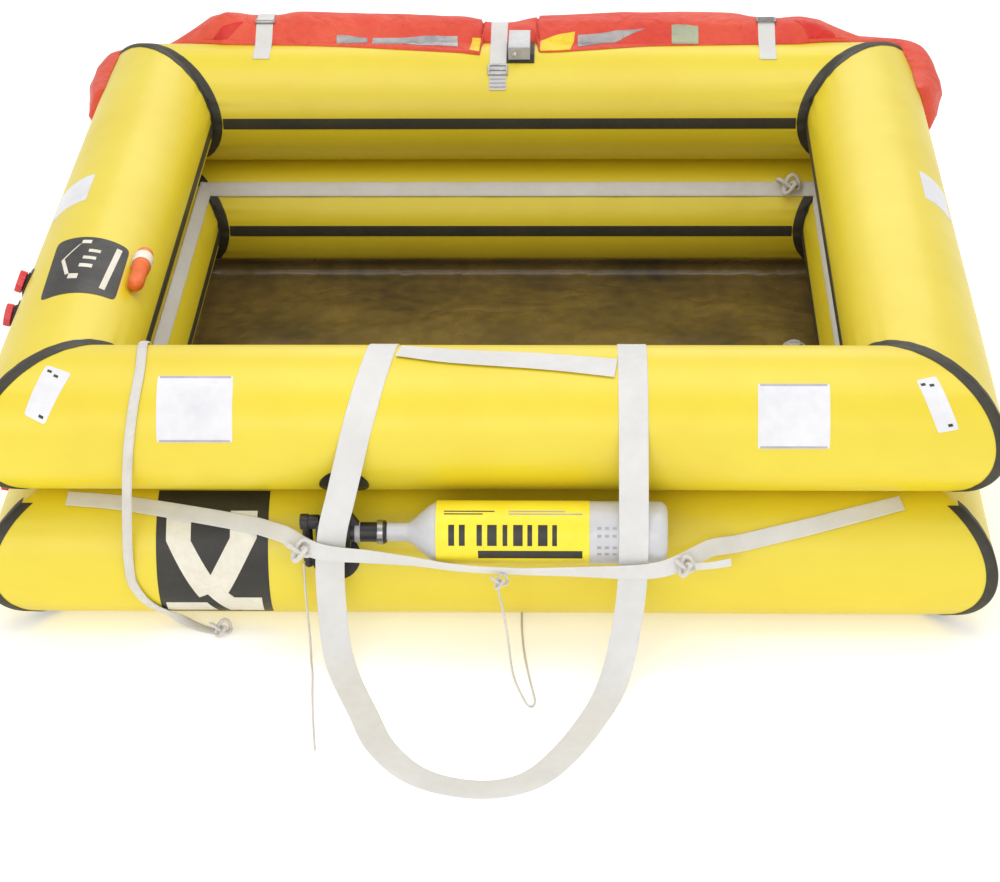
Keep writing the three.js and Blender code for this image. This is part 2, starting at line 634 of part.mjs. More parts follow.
/** Gas cylinder: neck, rounded shoulder, straight wall and rounded base. */
function gasCylinder() {
  const arcSteps = 6;
  const profile = [[0, CYLINDER_LEFT], [CYLINDER_NECK_RADIUS - 1, CYLINDER_LEFT], [CYLINDER_NECK_RADIUS, CYLINDER_LEFT + 2],
    [CYLINDER_NECK_RADIUS, CYLINDER_NECK_X]];
  for (let i = 1; i <= arcSteps; i++) {
    const turn = (Math.PI / 2) * (i / arcSteps);
    const radius = CYLINDER_NECK_RADIUS + (CYLINDER_RADIUS - CYLINDER_NECK_RADIUS) * Math.sin(turn);
    profile.push([radius, CYLINDER_NECK_X + (CYLINDER_SHOULDER_X - CYLINDER_NECK_X) * (1 - Math.cos(turn))]);
  }
  for (let i = 0; i <= arcSteps; i++) {
    const turn = (Math.PI / 2) * (i / arcSteps);
    const radius = CYLINDER_RADIUS - CYLINDER_BASE_ROUND * (1 - Math.cos(turn));
    profile.push([radius, CYLINDER_RIGHT - CYLINDER_BASE_ROUND * (1 - Math.sin(turn))]);
  }
  profile.push([0, CYLINDER_RIGHT]);
  return alongCylinder(turned(profile, 32));
}

/** Label wrapped round the front of the gas cylinder. */
function cylinderLabel() {
  const steps = 24;
  const halfStep = radians((LABEL_ANGLES[1] - LABEL_ANGLES[0]) / steps / 2);
  const inner = (CYLINDER_RADIUS + SEAT_GAP) / Math.cos(halfStep);
  const around = (x, radius, i) => {
    const angle = radians(LABEL_ANGLES[0] + ((LABEL_ANGLES[1] - LABEL_ANGLES[0]) * i) / steps);
    return [x, CYLINDER_Y - radius * Math.cos(angle), CYLINDER_Z + radius * Math.sin(angle)];
  };
  const loops = Array.from({ length: steps + 1 }, (_, i) => [
    around(LABEL_SPAN[0], inner + LABEL_THICKNESS, i),
    around(LABEL_SPAN[1], inner + LABEL_THICKNESS, i),
    around(LABEL_SPAN[1], inner, i),
    around(LABEL_SPAN[0], inner, i),
  ]);
  return loft(loops);
}

/** Block with small chamfers on its long edges, centred on a point. */
function chamferedBlock([left, right], [centreY, centreZ], depth, height, chamfer) {
  const [d, h] = [depth / 2, height / 2];
  const outline = [[-d + chamfer, -h], [d - chamfer, -h], [d, -h + chamfer], [d, h - chamfer],
    [d - chamfer, h], [-d + chamfer, h], [-d, h - chamfer], [-d, -h + chamfer]];
  return loft([left, right].map((x) => outline.map(([y, z]) => [x, centreY + y, centreZ + z])));
}

/** Firing head: barrel on the neck, valve block, striker tube, cam housing, outlets and the pin's sleeve. */
function firingHead() {
  const start = CYLINDER_LEFT - SEAT_GAP;
  const barrel = alongCylinder(turned([[0, HEAD_BLOCK.left + 5], [HEAD_RADIUS, HEAD_BLOCK.left + 5],
    [HEAD_RADIUS, start - 12], [HEAD_COLLAR_RADIUS, start - 12], [HEAD_COLLAR_RADIUS, start - 2],
    [HEAD_COLLAR_RADIUS - 2, start], [0, start]], 24));
  const block = chamferedBlock([HEAD_BLOCK.left, HEAD_BLOCK.right], [CYLINDER_Y, CYLINDER_Z],
    HEAD_BLOCK.depth, HEAD_BLOCK.height, 5);
  const striker = alongCylinder(turned([[0, HEAD_LEFT], [STRIKER_RADIUS - 2, HEAD_LEFT],
    [STRIKER_RADIUS, HEAD_LEFT + 2], [STRIKER_RADIUS, HEAD_LEFT + 14], [STRIKER_RADIUS - 1.5, HEAD_LEFT + 15],
    [STRIKER_RADIUS - 1.5, HEAD_BLOCK.left + 4], [0, HEAD_BLOCK.left + 4]], 20)).translate(0, 0, STRIKER_RISE);
  const wedgeTop = HEAD_BLOCK.height / 2 + 14;
  const wedge = [[HEAD_BLOCK.right - 6, 2], [HEAD_BLOCK.right + 26, 2], [HEAD_BLOCK.right + 2, wedgeTop],
    [HEAD_BLOCK.right - 6, wedgeTop]];
  const cam = loft([-7, 7].map((y) => wedge.map(([x, z]) => [x, CYLINDER_Y + y, CYLINDER_Z + z])));
  const sleeveTop = CYLINDER_Z + STRIKER_RISE;
  const sleeveLength = PIN_SLEEVE_DROP + STRIKER_RISE;
  const sleeve = new THREE.CylinderGeometry(PIN_SLEEVE_RADIUS, PIN_SLEEVE_RADIUS, sleeveLength, 20);
  sleeve.rotateX(Math.PI / 2);
  sleeve.translate(PIN_X, CYLINDER_Y, sleeveTop - sleeveLength / 2);
  const boreLength = PIN_SHANK + 2;
  const boreRadius = PIN_RADIUS + PIN_CLEARANCE;
  const bore = new THREE.CylinderGeometry(boreRadius, boreRadius, 2 * boreLength, 16);
  bore.rotateX(Math.PI / 2);
  bore.translate(PIN_X, CYLINDER_Y, CYLINDER_Z - PIN_SLEEVE_DROP);
  const parts = [barrel, block, striker, cam, sleeve].map(toSolid);
  const joined = parts.reduce((whole, part) => whole.add(part));
  return toGeometry(joined.subtract(toSolid(bore)));
}

/** Pull pin: a shank in the sleeve's bore with a knob under the sleeve. */
function pullPin() {
  const knob = PIN_KNOB_RADIUS;
  const pin = turned([[0, 0], [knob - 2, 0], [knob, 2], [knob, PIN_KNOB_LENGTH - 2], [knob - 2, PIN_KNOB_LENGTH],
    [PIN_RADIUS, PIN_KNOB_LENGTH], [PIN_RADIUS, PIN_KNOB_LENGTH + PIN_SHANK - 1],
    [PIN_RADIUS - 1, PIN_KNOB_LENGTH + PIN_SHANK], [0, PIN_KNOB_LENGTH + PIN_SHANK]], 20);
  pin.rotateX(Math.PI / 2);
  return pin.translate(PIN_X, CYLINDER_Y, CYLINDER_Z - PIN_SLEEVE_DROP - SEAT_GAP - PIN_KNOB_LENGTH);
}

/** Disc bent to an arm's skin, with whatever stands on it joined on. */
function curvedFlange(arm, height, along, angle, radius, thickness, standing) {
  const spread = THREE.MathUtils.radToDeg((radius + 6) / TUBE_RADIUS);
  const skin = curvedPad(arm, height, [angle - spread, angle + spread], [along - radius - 6, along + radius + 6],
    TAPE_INNER, TAPE_INNER + thickness);
  const cutter = new THREE.CylinderGeometry(radius, radius, 4 * thickness + 40, 32);
  cutter.applyMatrix4(seatFrame(arm, height, along, angle, TAPE_INNER));
  const disc = toSolid(skin).intersect(toSolid(cutter));
  const frame = seatFrame(arm, height, along, angle, TAPE_INNER + thickness - 0.8);
  return toGeometry(disc.add(toSolid(standing.applyMatrix4(frame))));
}

/** Inlet valve of one ring: bent flange, boss and a ring nut. */
function inletValve(height, { x, angle }) {
  const boss = INLET_BOSS_RADIUS;
  const standing = turned([[0, 0], [boss + 4, 0], [boss + 3, 4], [boss, 5], [boss, INLET_BOSS_HEIGHT - 2],
    [boss - 2, INLET_BOSS_HEIGHT], [0, INLET_BOSS_HEIGHT]], 24);
  return curvedFlange('front', height, x, angle, INLET_FLANGE_RADIUS, INLET_FLANGE_THICKNESS, standing);
}

/** Short hose from the valve block to an inlet valve's boss. */
function inletHose(height, { x, angle }, upward) {
  const lift = TAPE_INNER + INLET_FLANGE_THICKNESS - 0.8 + INLET_BOSS_HEIGHT + SEAT_GAP;
  const atBoss = (extra) => new THREE.Vector3(...armPoint('front', height, x, angle, lift + extra));
  const face = CYLINDER_Z + upward * (HEAD_BLOCK.height / 2 + SEAT_GAP);
  const atBlock = (extra) => new THREE.Vector3(HOSE_PORT_X, CYLINDER_Y, face + upward * extra);
  const curve = new THREE.CubicBezierCurve3(atBlock(2), atBlock(12), atBoss(12), atBoss(2));
  const points = [atBlock(0), ...curve.getPoints(8), atBoss(0)];
  const stations = points.map((point) => ({ point, normal: new THREE.Vector3(1, 0, 0) }));
  return sweep(stations, roundSection(2 * HOSE_RADIUS, 2 * HOSE_RADIUS, 12));
}

/** Smooth rows of numbers through the keys, with a fixed number of steps from each to the next. */
function smoothRows(keys, steps) {
  const curve = new THREE.CatmullRomCurve3(keys.map((key) => new THREE.Vector3(...key)), false, 'catmullrom', 0.5);
  return curve.getPoints(steps * (keys.length - 1)).map((point) => point.toArray());
}

/** Stations of a webbing that lies on an arm, from rows of [along, angle, lift]. */
function onArm(arm, height, rows) {
  return rows.map(([along, angle, lift]) => {
    const normal = new THREE.Vector3().setFromMatrixColumn(seatFrame(arm, height, along, angle, lift), 1);
    return { point: new THREE.Vector3(...armPoint(arm, height, along, angle, lift)), normal };
  });
}

/** Solid of one section carried along stations that give a line and its outer side, kept off the ground. */
function sweep(stations, section) {
  const loops = stations.map(({ point, normal }, i) => {
    const before = stations[Math.max(0, i - 1)].point;
    const after = stations[Math.min(stations.length - 1, i + 1)].point;
    const tangent = new THREE.Vector3().subVectors(after, before).normalize();
    const side = new THREE.Vector3().crossVectors(tangent, normal).normalize();
    const outward = new THREE.Vector3().crossVectors(side, tangent);
    return section.map(([across, out]) => {
      const corner = point.clone().addScaledVector(side, across).addScaledVector(outward, out);
      return [corner.x, corner.y, Math.max(corner.z, SEAT_GAP + 0.001 * (out + across / 50))];
    });
  });
  return loft(loops);
}

/** Flat webbing of a width. */
function webbing(stations, width) {
  const [w, t] = [width / 2, WEBBING_THICKNESS / 2];
  return sweep(stations, [[w, t], [-w, t], [-w, -t], [w, -t]]);
}

/** Ellipse section for ropes, cords and hoses. */
function roundSection(width, thickness, sides) {
  return Array.from({ length: sides }, (_, i) => {
    const turn = (2 * Math.PI * (i + 0.5)) / sides;
    return [(width / 2) * Math.cos(turn), (thickness / 2) * Math.sin(turn)];
  });
}

/** Stations from chosen points with their outer directions, smoothed between them. */
function freeStations(keys, steps) {
  const points = smoothRows(keys.map(([point]) => point), steps);
  const normals = smoothRows(keys.map(([, normal]) => normal), steps);
  return points.map((point, i) => ({
    point: new THREE.Vector3(point[0], point[1], Math.max(point[2], GROUND_WEBBING)),
    normal: new THREE.Vector3(...normals[i]).normalize(),
  }));
}

const ON_TUBE = ROUND_SEAT + WEBBING_THICKNESS / 2;
const FRONT = [0, -1, 0];
const UP = [0, 0, 1];
const GROUND_WEBBING = WEBBING_THICKNESS / 2 + SEAT_GAP;

/** Boarding strap: down both sides of the entrance and round in one loop on the ground. */
function boardingStrap() {
  const leg = (keys) => onArm('front', UPPER_HEIGHT, smoothRows(keys.map(([x, angle]) => [x, angle, ON_TUBE + 0.25]), 5));
  const leftLeg = leg([[-176, 152], [-178, 116], [-184, 82], [-200, 48], [-220, 14]]);
  const rightLeg = leg([[251, 25], [250, 58], [249, 90], [248, 122], [248, 152]]);
  const raftFront = -OUTER_WIDTH / 2;
  const headFront = CYLINDER_Y - HEAD_BLOCK.depth / 2 - LAYER_GAP - WEBBING_THICKNESS;
  const bottleFront = CYLINDER_Y - CYLINDER_RADIUS - LAYER_GAP - WEBBING_THICKNESS;
  const free = freeStations([
    [[-247, headFront + 12, 300], [0, -0.98, 0.2]],
    [[-261, headFront - 1, 246], FRONT],
    [[-268, headFront - 2, 175], FRONT],
    [[-267, headFront - 6, 90], [0, -0.97, 0.25]],
    [[-258, raftFront - 82, 25], [0, -0.6, 0.8]],
    [[-236, raftFront - 142, GROUND_WEBBING + 1], [0, -0.1, 1]],
    [[-205, raftFront - 228, GROUND_WEBBING], UP],
    [[-166, raftFront - 332, GROUND_WEBBING], UP],
    [[-98, raftFront - 416, GROUND_WEBBING], UP],
    [[0, raftFront - 448, GROUND_WEBBING], UP],
    [[84, raftFront - 420, GROUND_WEBBING], UP],
    [[146, raftFront - 330, GROUND_WEBBING], UP],
    [[194, raftFront - 218, GROUND_WEBBING + 0.5], UP],
    [[222, raftFront - 142, 22], [0, -0.55, 0.84]],
    [[241, raftFront - 100, 95], [0, -0.97, 0.25]],
    [[250, bottleFront - 2, 170], FRONT],
    [[252, bottleFront, CYLINDER_Z + 8], FRONT],
    [[252, bottleFront + 15, 278], [0, -0.92, 0.38]],
  ], 2);
  return webbing([...leftLeg, ...free, ...rightLeg], BOARDING_WIDTH);
}

/** Cross strap between the boarding strap's legs, on top of the upper ring. */
function crossStrap() {
  const reach = BOARDING_WIDTH / 2 + 3;
  const lift = ON_TUBE + LAYER_GAP;
  const rows = smoothRows([[-178 + reach, 92, lift], [-60, 84, lift], [100, 77, lift], [249 - reach, 70, lift]], 4);
  return webbing(onArm('front', UPPER_HEIGHT, rows), CROSS_STRAP_WIDTH);
}

/** Outer lifeline of the front: in the waist at both corners and slung in front of the gas cylinder. */
function frontLifeline() {
  const onTube = (keys) => onArm('front', LOWER_HEIGHT, smoothRows(keys.map(([x, a]) => [x, a, ON_TUBE + LAYER_GAP]), 4));
  const left = onTube([[-735, 66], [-641, 62], [-498, 51], [-400, 43]]);
  const right = onTube([[432, 30], [550, 43], [640, 54], [716, 64]]);
  const hung = (x, forward, drop, normal) =>
    [[x, CYLINDER_Y - CYLINDER_RADIUS - forward, CYLINDER_Z - drop], normal];
  const slung = freeStations([
    hung(-345, -61, 10, [0, -0.82, 0.57]),
    hung(-300, -24, 16, [0, -0.96, 0.25]),
    hung(-262, -17, 22, FRONT),
    hung(-200, -15, 26, [0, -0.98, -0.2]),
    hung(-120, -9, 32, [0, -0.86, -0.5]),
    hung(-40, -1, 40, [0, -0.8, -0.6]),
    hung(60, 0, 45, [0, -0.8, -0.6]),
    hung(160, 4, 43, [0, -0.9, -0.43]),
    hung(250, 13, 38, [0, -1, -0.1]),
    hung(300, 8, 35, [0, -1, 0.1]),
    hung(340, -15, 31, [0, -0.95, 0.3]),
    hung(385, -55, 29, [0, -0.88, 0.47]),
  ], 4);
  return webbing([...left, ...slung, ...right], LIFELINE_WIDTH);
}

/** Outer lifeline of another side, hanging in one swag from the waist near each corner. */
function sideLifeline(arm) {
  const end = ARMS[arm].half - 25;
  const half = [[0, 34], [0.36, 42], [0.72, 58], [1, 66]];
  const swag = [...half.slice(1).reverse().map(([share, angle]) => [-share, angle]), ...half];
  const rows = smoothRows(swag.map(([share, angle]) => [share * end, angle, ON_TUBE + LAYER_GAP]), 5);
  return webbing(onArm(arm, LOWER_HEIGHT, rows), LIFELINE_WIDTH);
}

/** Inner lifeline: one closed loop of webbing in the waist inside the rings. */
function innerLifeline() {
  const half = THREE.MathUtils.radToDeg(INNER_LIFELINE_WIDTH / 2 / TUBE_RADIUS);
  const middle = 138;
  const angles = skinAngles(middle - half, middle + half);
  const inner = TAPE_OUTER + SEAT_GAP;
  const loops = Object.keys(CORNERS).map((corner) => [
    ...angles.map((a) => cornerPoint(corner, LOWER_HEIGHT, a, skinRadius(a, inner + WEBBING_THICKNESS))),
    ...angles.toReversed().map((a) => cornerPoint(corner, LOWER_HEIGHT, a, skinRadius(a, inner))),
  ]);
  return loft(loops, true);
}

/** Heaving rope: from the inner lifeline over the front of the upper ring, down to the ground. */
function heavingRope() {
  const lift = TAPE_OUTER / FLAT_SHARE + ROPE_THICKNESS / 2 + LAYER_GAP;
  const start = freeStations([
    [[-606, -CENTRE_Y + 97, 218], [0, 0.8, 0.6]],
    [[-605, -CENTRE_Y + 103, 252], [0, 1, 0]],
    [[-604, -CENTRE_Y + 106, 284], [0, 0.95, -0.3]],
  ], 2);
  const over = onArm('front', UPPER_HEIGHT, smoothRows([[-603, 206, lift], [-600, 176, lift], [-597, 140, lift],
    [-594, 104, lift], [-588, 68, lift], [-596, 34, lift], [-606, 2, lift]], 3));
  const waist = freeStations([
    [[-612, -CENTRE_Y - lift, 330], FRONT],
    [[-618, -CENTRE_Y - lift, 250], FRONT],
    [[-622, -CENTRE_Y - lift, 175], FRONT],
  ], 1);
  const down = onArm('front', LOWER_HEIGHT, smoothRows([[-621, -2, lift], [-600, -24, lift], [-566, -46, lift]], 3));
  const ground = ROPE_THICKNESS / 2 + SEAT_GAP;
  const end = freeStations([
    [[-540, -806, 14], [0, -0.75, 0.66]],
    [[-512, -812, ground + 1], [0, -0.3, 0.95]],
    [[-478, -826, ground], UP],
  ], 2);
  return sweep([...start, ...over, ...waist, ...down, ...end], roundSection(ROPE_WIDTH, ROPE_THICKNESS, 8));
}

/** Round cord through chosen points, with a fixed direction as its outer side. */
function roundCord(points, across, diameter, steps) {
  const stations = freeStations(points.map((point) => [point, across]), steps);
  return sweep(stations, roundSection(diameter, diameter, 8));
}

/** Release cord: from the side of the pull pin's knob straight down to the ground and out in front. */
function releaseCord() {
  const ground = CORD_DIAMETER / 2 + SEAT_GAP;
  const top = CYLINDER_Z - PIN_SLEEVE_DROP - SEAT_GAP - PIN_KNOB_LENGTH / 2;
  const beside = -(PIN_KNOB_RADIUS + CORD_DIAMETER / 2 + SEAT_GAP);
  const points = [
    [beside, 0, top], [beside, 0, top - 22], [beside, 0, top - 44], [beside + 1, -2, 90],
    [beside + 4, -8, 40], [beside + 7, -24, 10], [beside + 9, -48, ground + 0.5],
    [6, -90, ground], [11, -150, ground], [18, -220, ground], [25, -280, ground], [30, -322, ground],
  ];
  return roundCord(points.map(([x, y, z]) => [PIN_X + x, CYLINDER_Y + y, z]), [1, 0, 0], CORD_DIAMETER, 3);
}

/** Painter tail: from the front lifeline down to the ground, out and back under the lower ring. */
function painterTail() {
  const ground = CORD_DIAMETER / 2 + SEAT_GAP;
  const points = [
    [22, -922, 168], [23, -924, 145], [30, -926, 110], [36, -929, 70], [40, -934, 32], [44, -948, 8],
    [50, -975, ground], [60, -1010, ground], [70, -1042, ground], [78, -1058, ground], [84, -1052, ground],
    [86, -1036, ground], [80, -1000, ground], [72, -950, ground], [64, -890, ground], [59, -830, ground],
    [57, -790, ground], [56, -747, ground],
  ];
  return roundCord(points, [1, 0, 0.05], CORD_DIAMETER, 3);
}

/** Valve body on the left side: bent flange and a round neck. */
function valveBody({ ring, along, angle }) {
  const neck = VALVE_NECK_RADIUS;
  const standing = turned([[0, 0], [neck + 5, 0], [neck + 4, 3], [neck, 3.5], [neck, VALVE_NECK_HEIGHT],
    [0, VALVE_NECK_HEIGHT]], 24);
  return curvedFlange('left', RING_HEIGHT[ring], along, angle, VALVE_FLANGE_RADIUS, VALVE_FLANGE_THICKNESS, standing);
}

/** Quarter-turn cap: a knurled skirt, hollow underneath so that it sits over the neck. */
function valveCap({ ring, along, angle }) {
  const outline = new THREE.Shape();
  const steps = CAP_GRIPS * 4;
  for (let i = 0; i < steps; i++) {
    const turn = (2 * Math.PI * i) / steps;
    const radius = CAP_RADIUS - 0.9 + 0.9 * Math.cos(CAP_GRIPS * turn);
    const [x, y] = [radius * Math.cos(turn), radius * Math.sin(turn)];
    if (i === 0) outline.moveTo(x, y);
    else outline.lineTo(x, y);
  }
  const skirt = new THREE.ExtrudeGeometry(outline, { depth: CAP_HEIGHT - 3, bevelEnabled: true,
    bevelThickness: 1.5, bevelSize: 1.5, bevelOffset: -1.5, bevelSegments: 1, curveSegments: 1 });
  skirt.translate(0, 0, 1.5);
  skirt.rotateX(-Math.PI / 2);
  const recessRadius = VALVE_NECK_RADIUS + CAP_CLEARANCE;
  const recess = new THREE.CylinderGeometry(recessRadius, recessRadius, 2 * (CAP_RECESS + 2), 24);
  recess.translate(0, -2, 0);
  const cap = toGeometry(toSolid(skirt).subtract(toSolid(recess)));
  const seat = TAPE_INNER + VALVE_FLANGE_THICKNESS - 0.8 + VALVE_NECK_HEIGHT + SEAT_GAP - CAP_RECESS;
  return cap.applyMatrix4(seatFrame('left', RING_HEIGHT[ring], along, angle, seat));
}

/** Floor drain: flange and short collar on the floor. */
function floorDrain() {
  const radius = DRAIN_RADIUS;
  const drain = turned([[0, 0], [radius, 0], [radius, 1.2], [DRAIN_CAP_RADIUS + 3, 2], [DRAIN_CAP_RADIUS + 2, DRAIN_HEIGHT],
    [0, DRAIN_HEIGHT]], 32);
  drain.rotateX(Math.PI / 2);
  return drain.translate(...DRAIN_PLACE, FLOOR_THICKNESS + SEAT_GAP);
}

/** Drain cap with a raised finger bar. */
function drainCap() {
  const cap = turned([[0, 0], [DRAIN_CAP_RADIUS, 0], [DRAIN_CAP_RADIUS, DRAIN_CAP_HEIGHT - 4],
    [DRAIN_CAP_RADIUS - 2, DRAIN_CAP_HEIGHT - 3], [0, DRAIN_CAP_HEIGHT - 3]], 28);
  const bar = new THREE.BoxGeometry(2 * DRAIN_CAP_RADIUS - 6, 4, 5);
  bar.translate(0, DRAIN_CAP_HEIGHT - 2, 0);
  const whole = toGeometry(toSolid(cap).add(toSolid(bar)));
  whole.rotateX(Math.PI / 2);
  return whole.translate(...DRAIN_PLACE, FLOOR_THICKNESS + DRAIN_HEIGHT + 2 * SEAT_GAP);
}

/** Locator lamp: a battery body with a domed end at each end, lying along the left arm. */
function locatorLamp() {
  const [radius, half] = [LAMP_RADIUS, LAMP_LENGTH / 2];
  const lamp = turned([[0, -half], [radius * 0.45, -half + 2], [radius * 0.8, -half + 9], [radius * 0.9, -half + 16],
    [radius * 0.9, -6], [radius, -4], [radius, half - 20], [radius * 0.93, half - 12], [radius * 0.7, half - 5],
    [radius * 0.35, half - 1], [0, half]], 24);
  return lamp.translate(...lampPlace());
}

/** Middle of the lamp, resting on the tube. */
function lampPlace() {
  return armPoint('left', UPPER_HEIGHT, LAMP_ALONG, LAMP_ANGLE, ROUND_SEAT + LAMP_RADIUS);
}

/** White band round the lamp's thicker half, open where the lamp meets the tube. */
function lampBand() {
  const steps = 22;
  const inner = LAMP_RADIUS / Math.cos(Math.PI / 24) + SEAT_GAP;
  const [x, y, z] = lampPlace();
  const start = y + 14;
  const around = (along, radius, i) => {
    const angle = radians(LAMP_ANGLE - 140 + (280 * i) / steps);
    return [x - radius * Math.cos(angle), along, z + radius * Math.sin(angle)];
  };
  const loops = Array.from({ length: steps + 1 }, (_, i) => [
    around(start, inner + LAMP_BAND_THICKNESS, i),
    around(start + LAMP_BAND_WIDTH, inner + LAMP_BAND_THICKNESS, i),
    around(start + LAMP_BAND_WIDTH, inner, i),
    around(start, inner, i),
  ]);
  return loft(loops);
}

/** Rings, tapes and floor. */
function addHull() {
  for (const [ring, height] of Object.entries(RING_HEIGHT)) {
    addPiece(`${ring}_buoyancy_tube`, mitredRing(height, TUBE_RADIUS), 'yellow');
    for (const corner of Object.keys(CORNERS)) {
      addPiece(`${ring}_corner_tape_${corner}`, cornerTape(corner, height, ring === 'upper'), 'charcoal');
    }
    for (const arm of Object.keys(ARMS)) {
      addPiece(`${ring}_seam_tape_${arm}`, seamTape(arm, height), 'charcoal');
    }
  }
  addPiece('floor_sheet', floorSheet(), 'floor');
  addPiece('floor_drain', floorDrain(), 'white');
  addPiece('floor_drain_cap', drainCap(), 'white');
}

/** Rolled canopy with its straps, buckles and light. */
function addCanopy() {
  addPiece('stowed_canopy', canopyRoll(), 'orange');
  for (const strap of CANOPY_STRAPS) {
    addPiece(`canopy_strap_${strap.name}`, canopyStrap(strap), 'webbing');
    addPiece(`strap_buckle_${strap.name}`, strapBuckle(strap), 'steel');
  }
  addPiece('light_backing', lightPad(), 'black');
  addPiece('light_box', lightBox(), 'white');
  addPiece('light_bulb', lightBulb(), 'clear');
}

/** Gas cylinder, firing head and inlets. */
function addInflation() {
  addPiece('gas_cylinder', gasCylinder(), 'cylinder');
  addPiece('cylinder_label', cylinderLabel(), 'label');
  addPiece('firing_head', firingHead(), 'black');
  addPiece('pull_pin', pullPin(), 'black');
  addPiece('inlet_valve_upper', inletValve(UPPER_HEIGHT, UPPER_INLET), 'black');
  addPiece('inlet_valve_lower', inletValve(LOWER_HEIGHT, LOWER_INLET), 'black');
  addPiece('inlet_hose_upper', inletHose(UPPER_HEIGHT, UPPER_INLET, 1), 'black');
  addPiece('inlet_hose_lower', inletHose(LOWER_HEIGHT, LOWER_INLET, -1), 'black');
}

/** Webbing, rope and cords. */
function addLines() {
  addPiece('boarding_strap', boardingStrap(), 'webbing');
  addPiece('boarding_cross_strap', crossStrap(), 'webbing');
  addPiece('lifeline_front', frontLifeline(), 'webbing');
  for (const arm of ['left', 'right', 'back']) {
    addPiece(`lifeline_${arm}`, sideLifeline(arm), 'webbing');
  }
  addPiece('lifeline_inside', innerLifeline(), 'webbing');
  addPiece('heaving_rope', heavingRope(), 'rope');
  addPiece('release_cord', releaseCord(), 'rope');
  addPiece('painter_tail', painterTail(), 'rope');
}

/** Side valves and the locator lamp. */
function addSideFittings() {
  for (const valve of SIDE_VALVES) {
    addPiece(`valve_body_${valve.name}`, valveBody(valve), 'black');
    addPiece(`valve_cap_${valve.name}`, valveCap(valve), 'red');
  }
  addPiece('locator_lamp', locatorLamp(), 'lamp');
  addPiece('lamp_band', lampBand(), 'white');
}

addHull();
addCanopy();
addInflation();
addLines();
addSideFittings();

export default raft;
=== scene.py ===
"""Looks of an inflated four-person coastal liferaft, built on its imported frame. Metres, +Z up."""

import json
import math

import bmesh
import bpy
import numpy as np
from mathutils import Matrix, Vector

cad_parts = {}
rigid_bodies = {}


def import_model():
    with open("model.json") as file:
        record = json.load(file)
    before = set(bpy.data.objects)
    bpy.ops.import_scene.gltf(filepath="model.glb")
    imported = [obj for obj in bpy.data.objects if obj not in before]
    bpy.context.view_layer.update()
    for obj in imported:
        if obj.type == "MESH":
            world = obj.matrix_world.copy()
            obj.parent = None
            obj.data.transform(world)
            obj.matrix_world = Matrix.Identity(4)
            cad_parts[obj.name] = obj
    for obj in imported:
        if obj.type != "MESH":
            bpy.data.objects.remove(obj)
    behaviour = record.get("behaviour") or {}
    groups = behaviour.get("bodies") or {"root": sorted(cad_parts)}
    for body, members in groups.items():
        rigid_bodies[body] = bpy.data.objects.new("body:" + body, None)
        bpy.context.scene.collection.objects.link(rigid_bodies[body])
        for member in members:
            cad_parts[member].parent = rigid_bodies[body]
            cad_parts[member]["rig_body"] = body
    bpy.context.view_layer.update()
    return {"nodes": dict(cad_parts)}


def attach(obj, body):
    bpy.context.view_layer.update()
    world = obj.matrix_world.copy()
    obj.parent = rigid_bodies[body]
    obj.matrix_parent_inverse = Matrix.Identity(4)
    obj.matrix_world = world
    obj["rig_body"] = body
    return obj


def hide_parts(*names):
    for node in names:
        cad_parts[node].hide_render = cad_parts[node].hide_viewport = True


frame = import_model()

# Sizes of the raft, as in the part
TUBE = 0.125
CENTRE_X = 0.755
CENTRE_Y = 0.7175
LOW = 0.1263
UP = 0.3766
TAPE_REACH = 0.020
ARMS = {
    "front": ((1, 0), (0, -1), CENTRE_Y, CENTRE_X),
    "right": ((0, 1), (1, 0), CENTRE_X, CENTRE_Y),
    "back": ((-1, 0), (0, 1), CENTRE_Y, CENTRE_X),
    "left": ((0, -1), (-1, 0), CENTRE_X, CENTRE_Y),
}
CORNERS = {"front_left": (-1, -1), "front_right": (1, -1), "back_right": (1, 1), "back_left": (-1, 1)}
SKIN_LIFT = 0.0002
CYLINDER_RADIUS = 0.054
BOARDING_WIDTH = 0.050
CROSS_STRAP_WIDTH = 0.042
LIFELINE_WIDTH = 0.030
CANOPY_STRAP_WIDTH = 0.036
ROPE_WIDTH, ROPE_THICKNESS = 0.017, 0.005
CORD_DIAMETER = 0.004
PIN_X, KNOB_RADIUS, KNOB_LENGTH, SLEEVE_DROP = -0.306, 0.007, 0.012, 0.056
SEAT_GAP = 0.0003
LAYER_GAP = 0.0005
WEBBING_THICKNESS = 0.0016


# Camera
def add_camera():
    """Camera at the place and angle that the photograph was taken from."""
    yaw, pitch, roll, focal = -0.0381, 0.5040, -0.0161, 2912.5
    forward = Vector((math.sin(yaw) * math.cos(pitch), math.cos(yaw) * math.cos(pitch), -math.sin(pitch)))
    right = Vector((math.cos(yaw), -math.sin(yaw), 0))
    up = right.cross(forward)
    across = right * math.cos(roll) + up * math.sin(roll)
    upright = -right * math.sin(roll) + up * math.cos(roll)
    data = bpy.data.cameras.new("photo_camera")
    data.lens = focal * 36 / 1000
    data.sensor_width = 36
    data.clip_end = 60
    camera = bpy.data.objects.new("photo_camera", data)
    turn = Matrix((across, upright, -forward)).transposed().to_4x4()
    camera.matrix_world = Matrix.Translation((0.1896, -5.1443, 2.7733)) @ turn
    bpy.context.scene.collection.objects.link(camera)
    bpy.context.scene.camera = camera


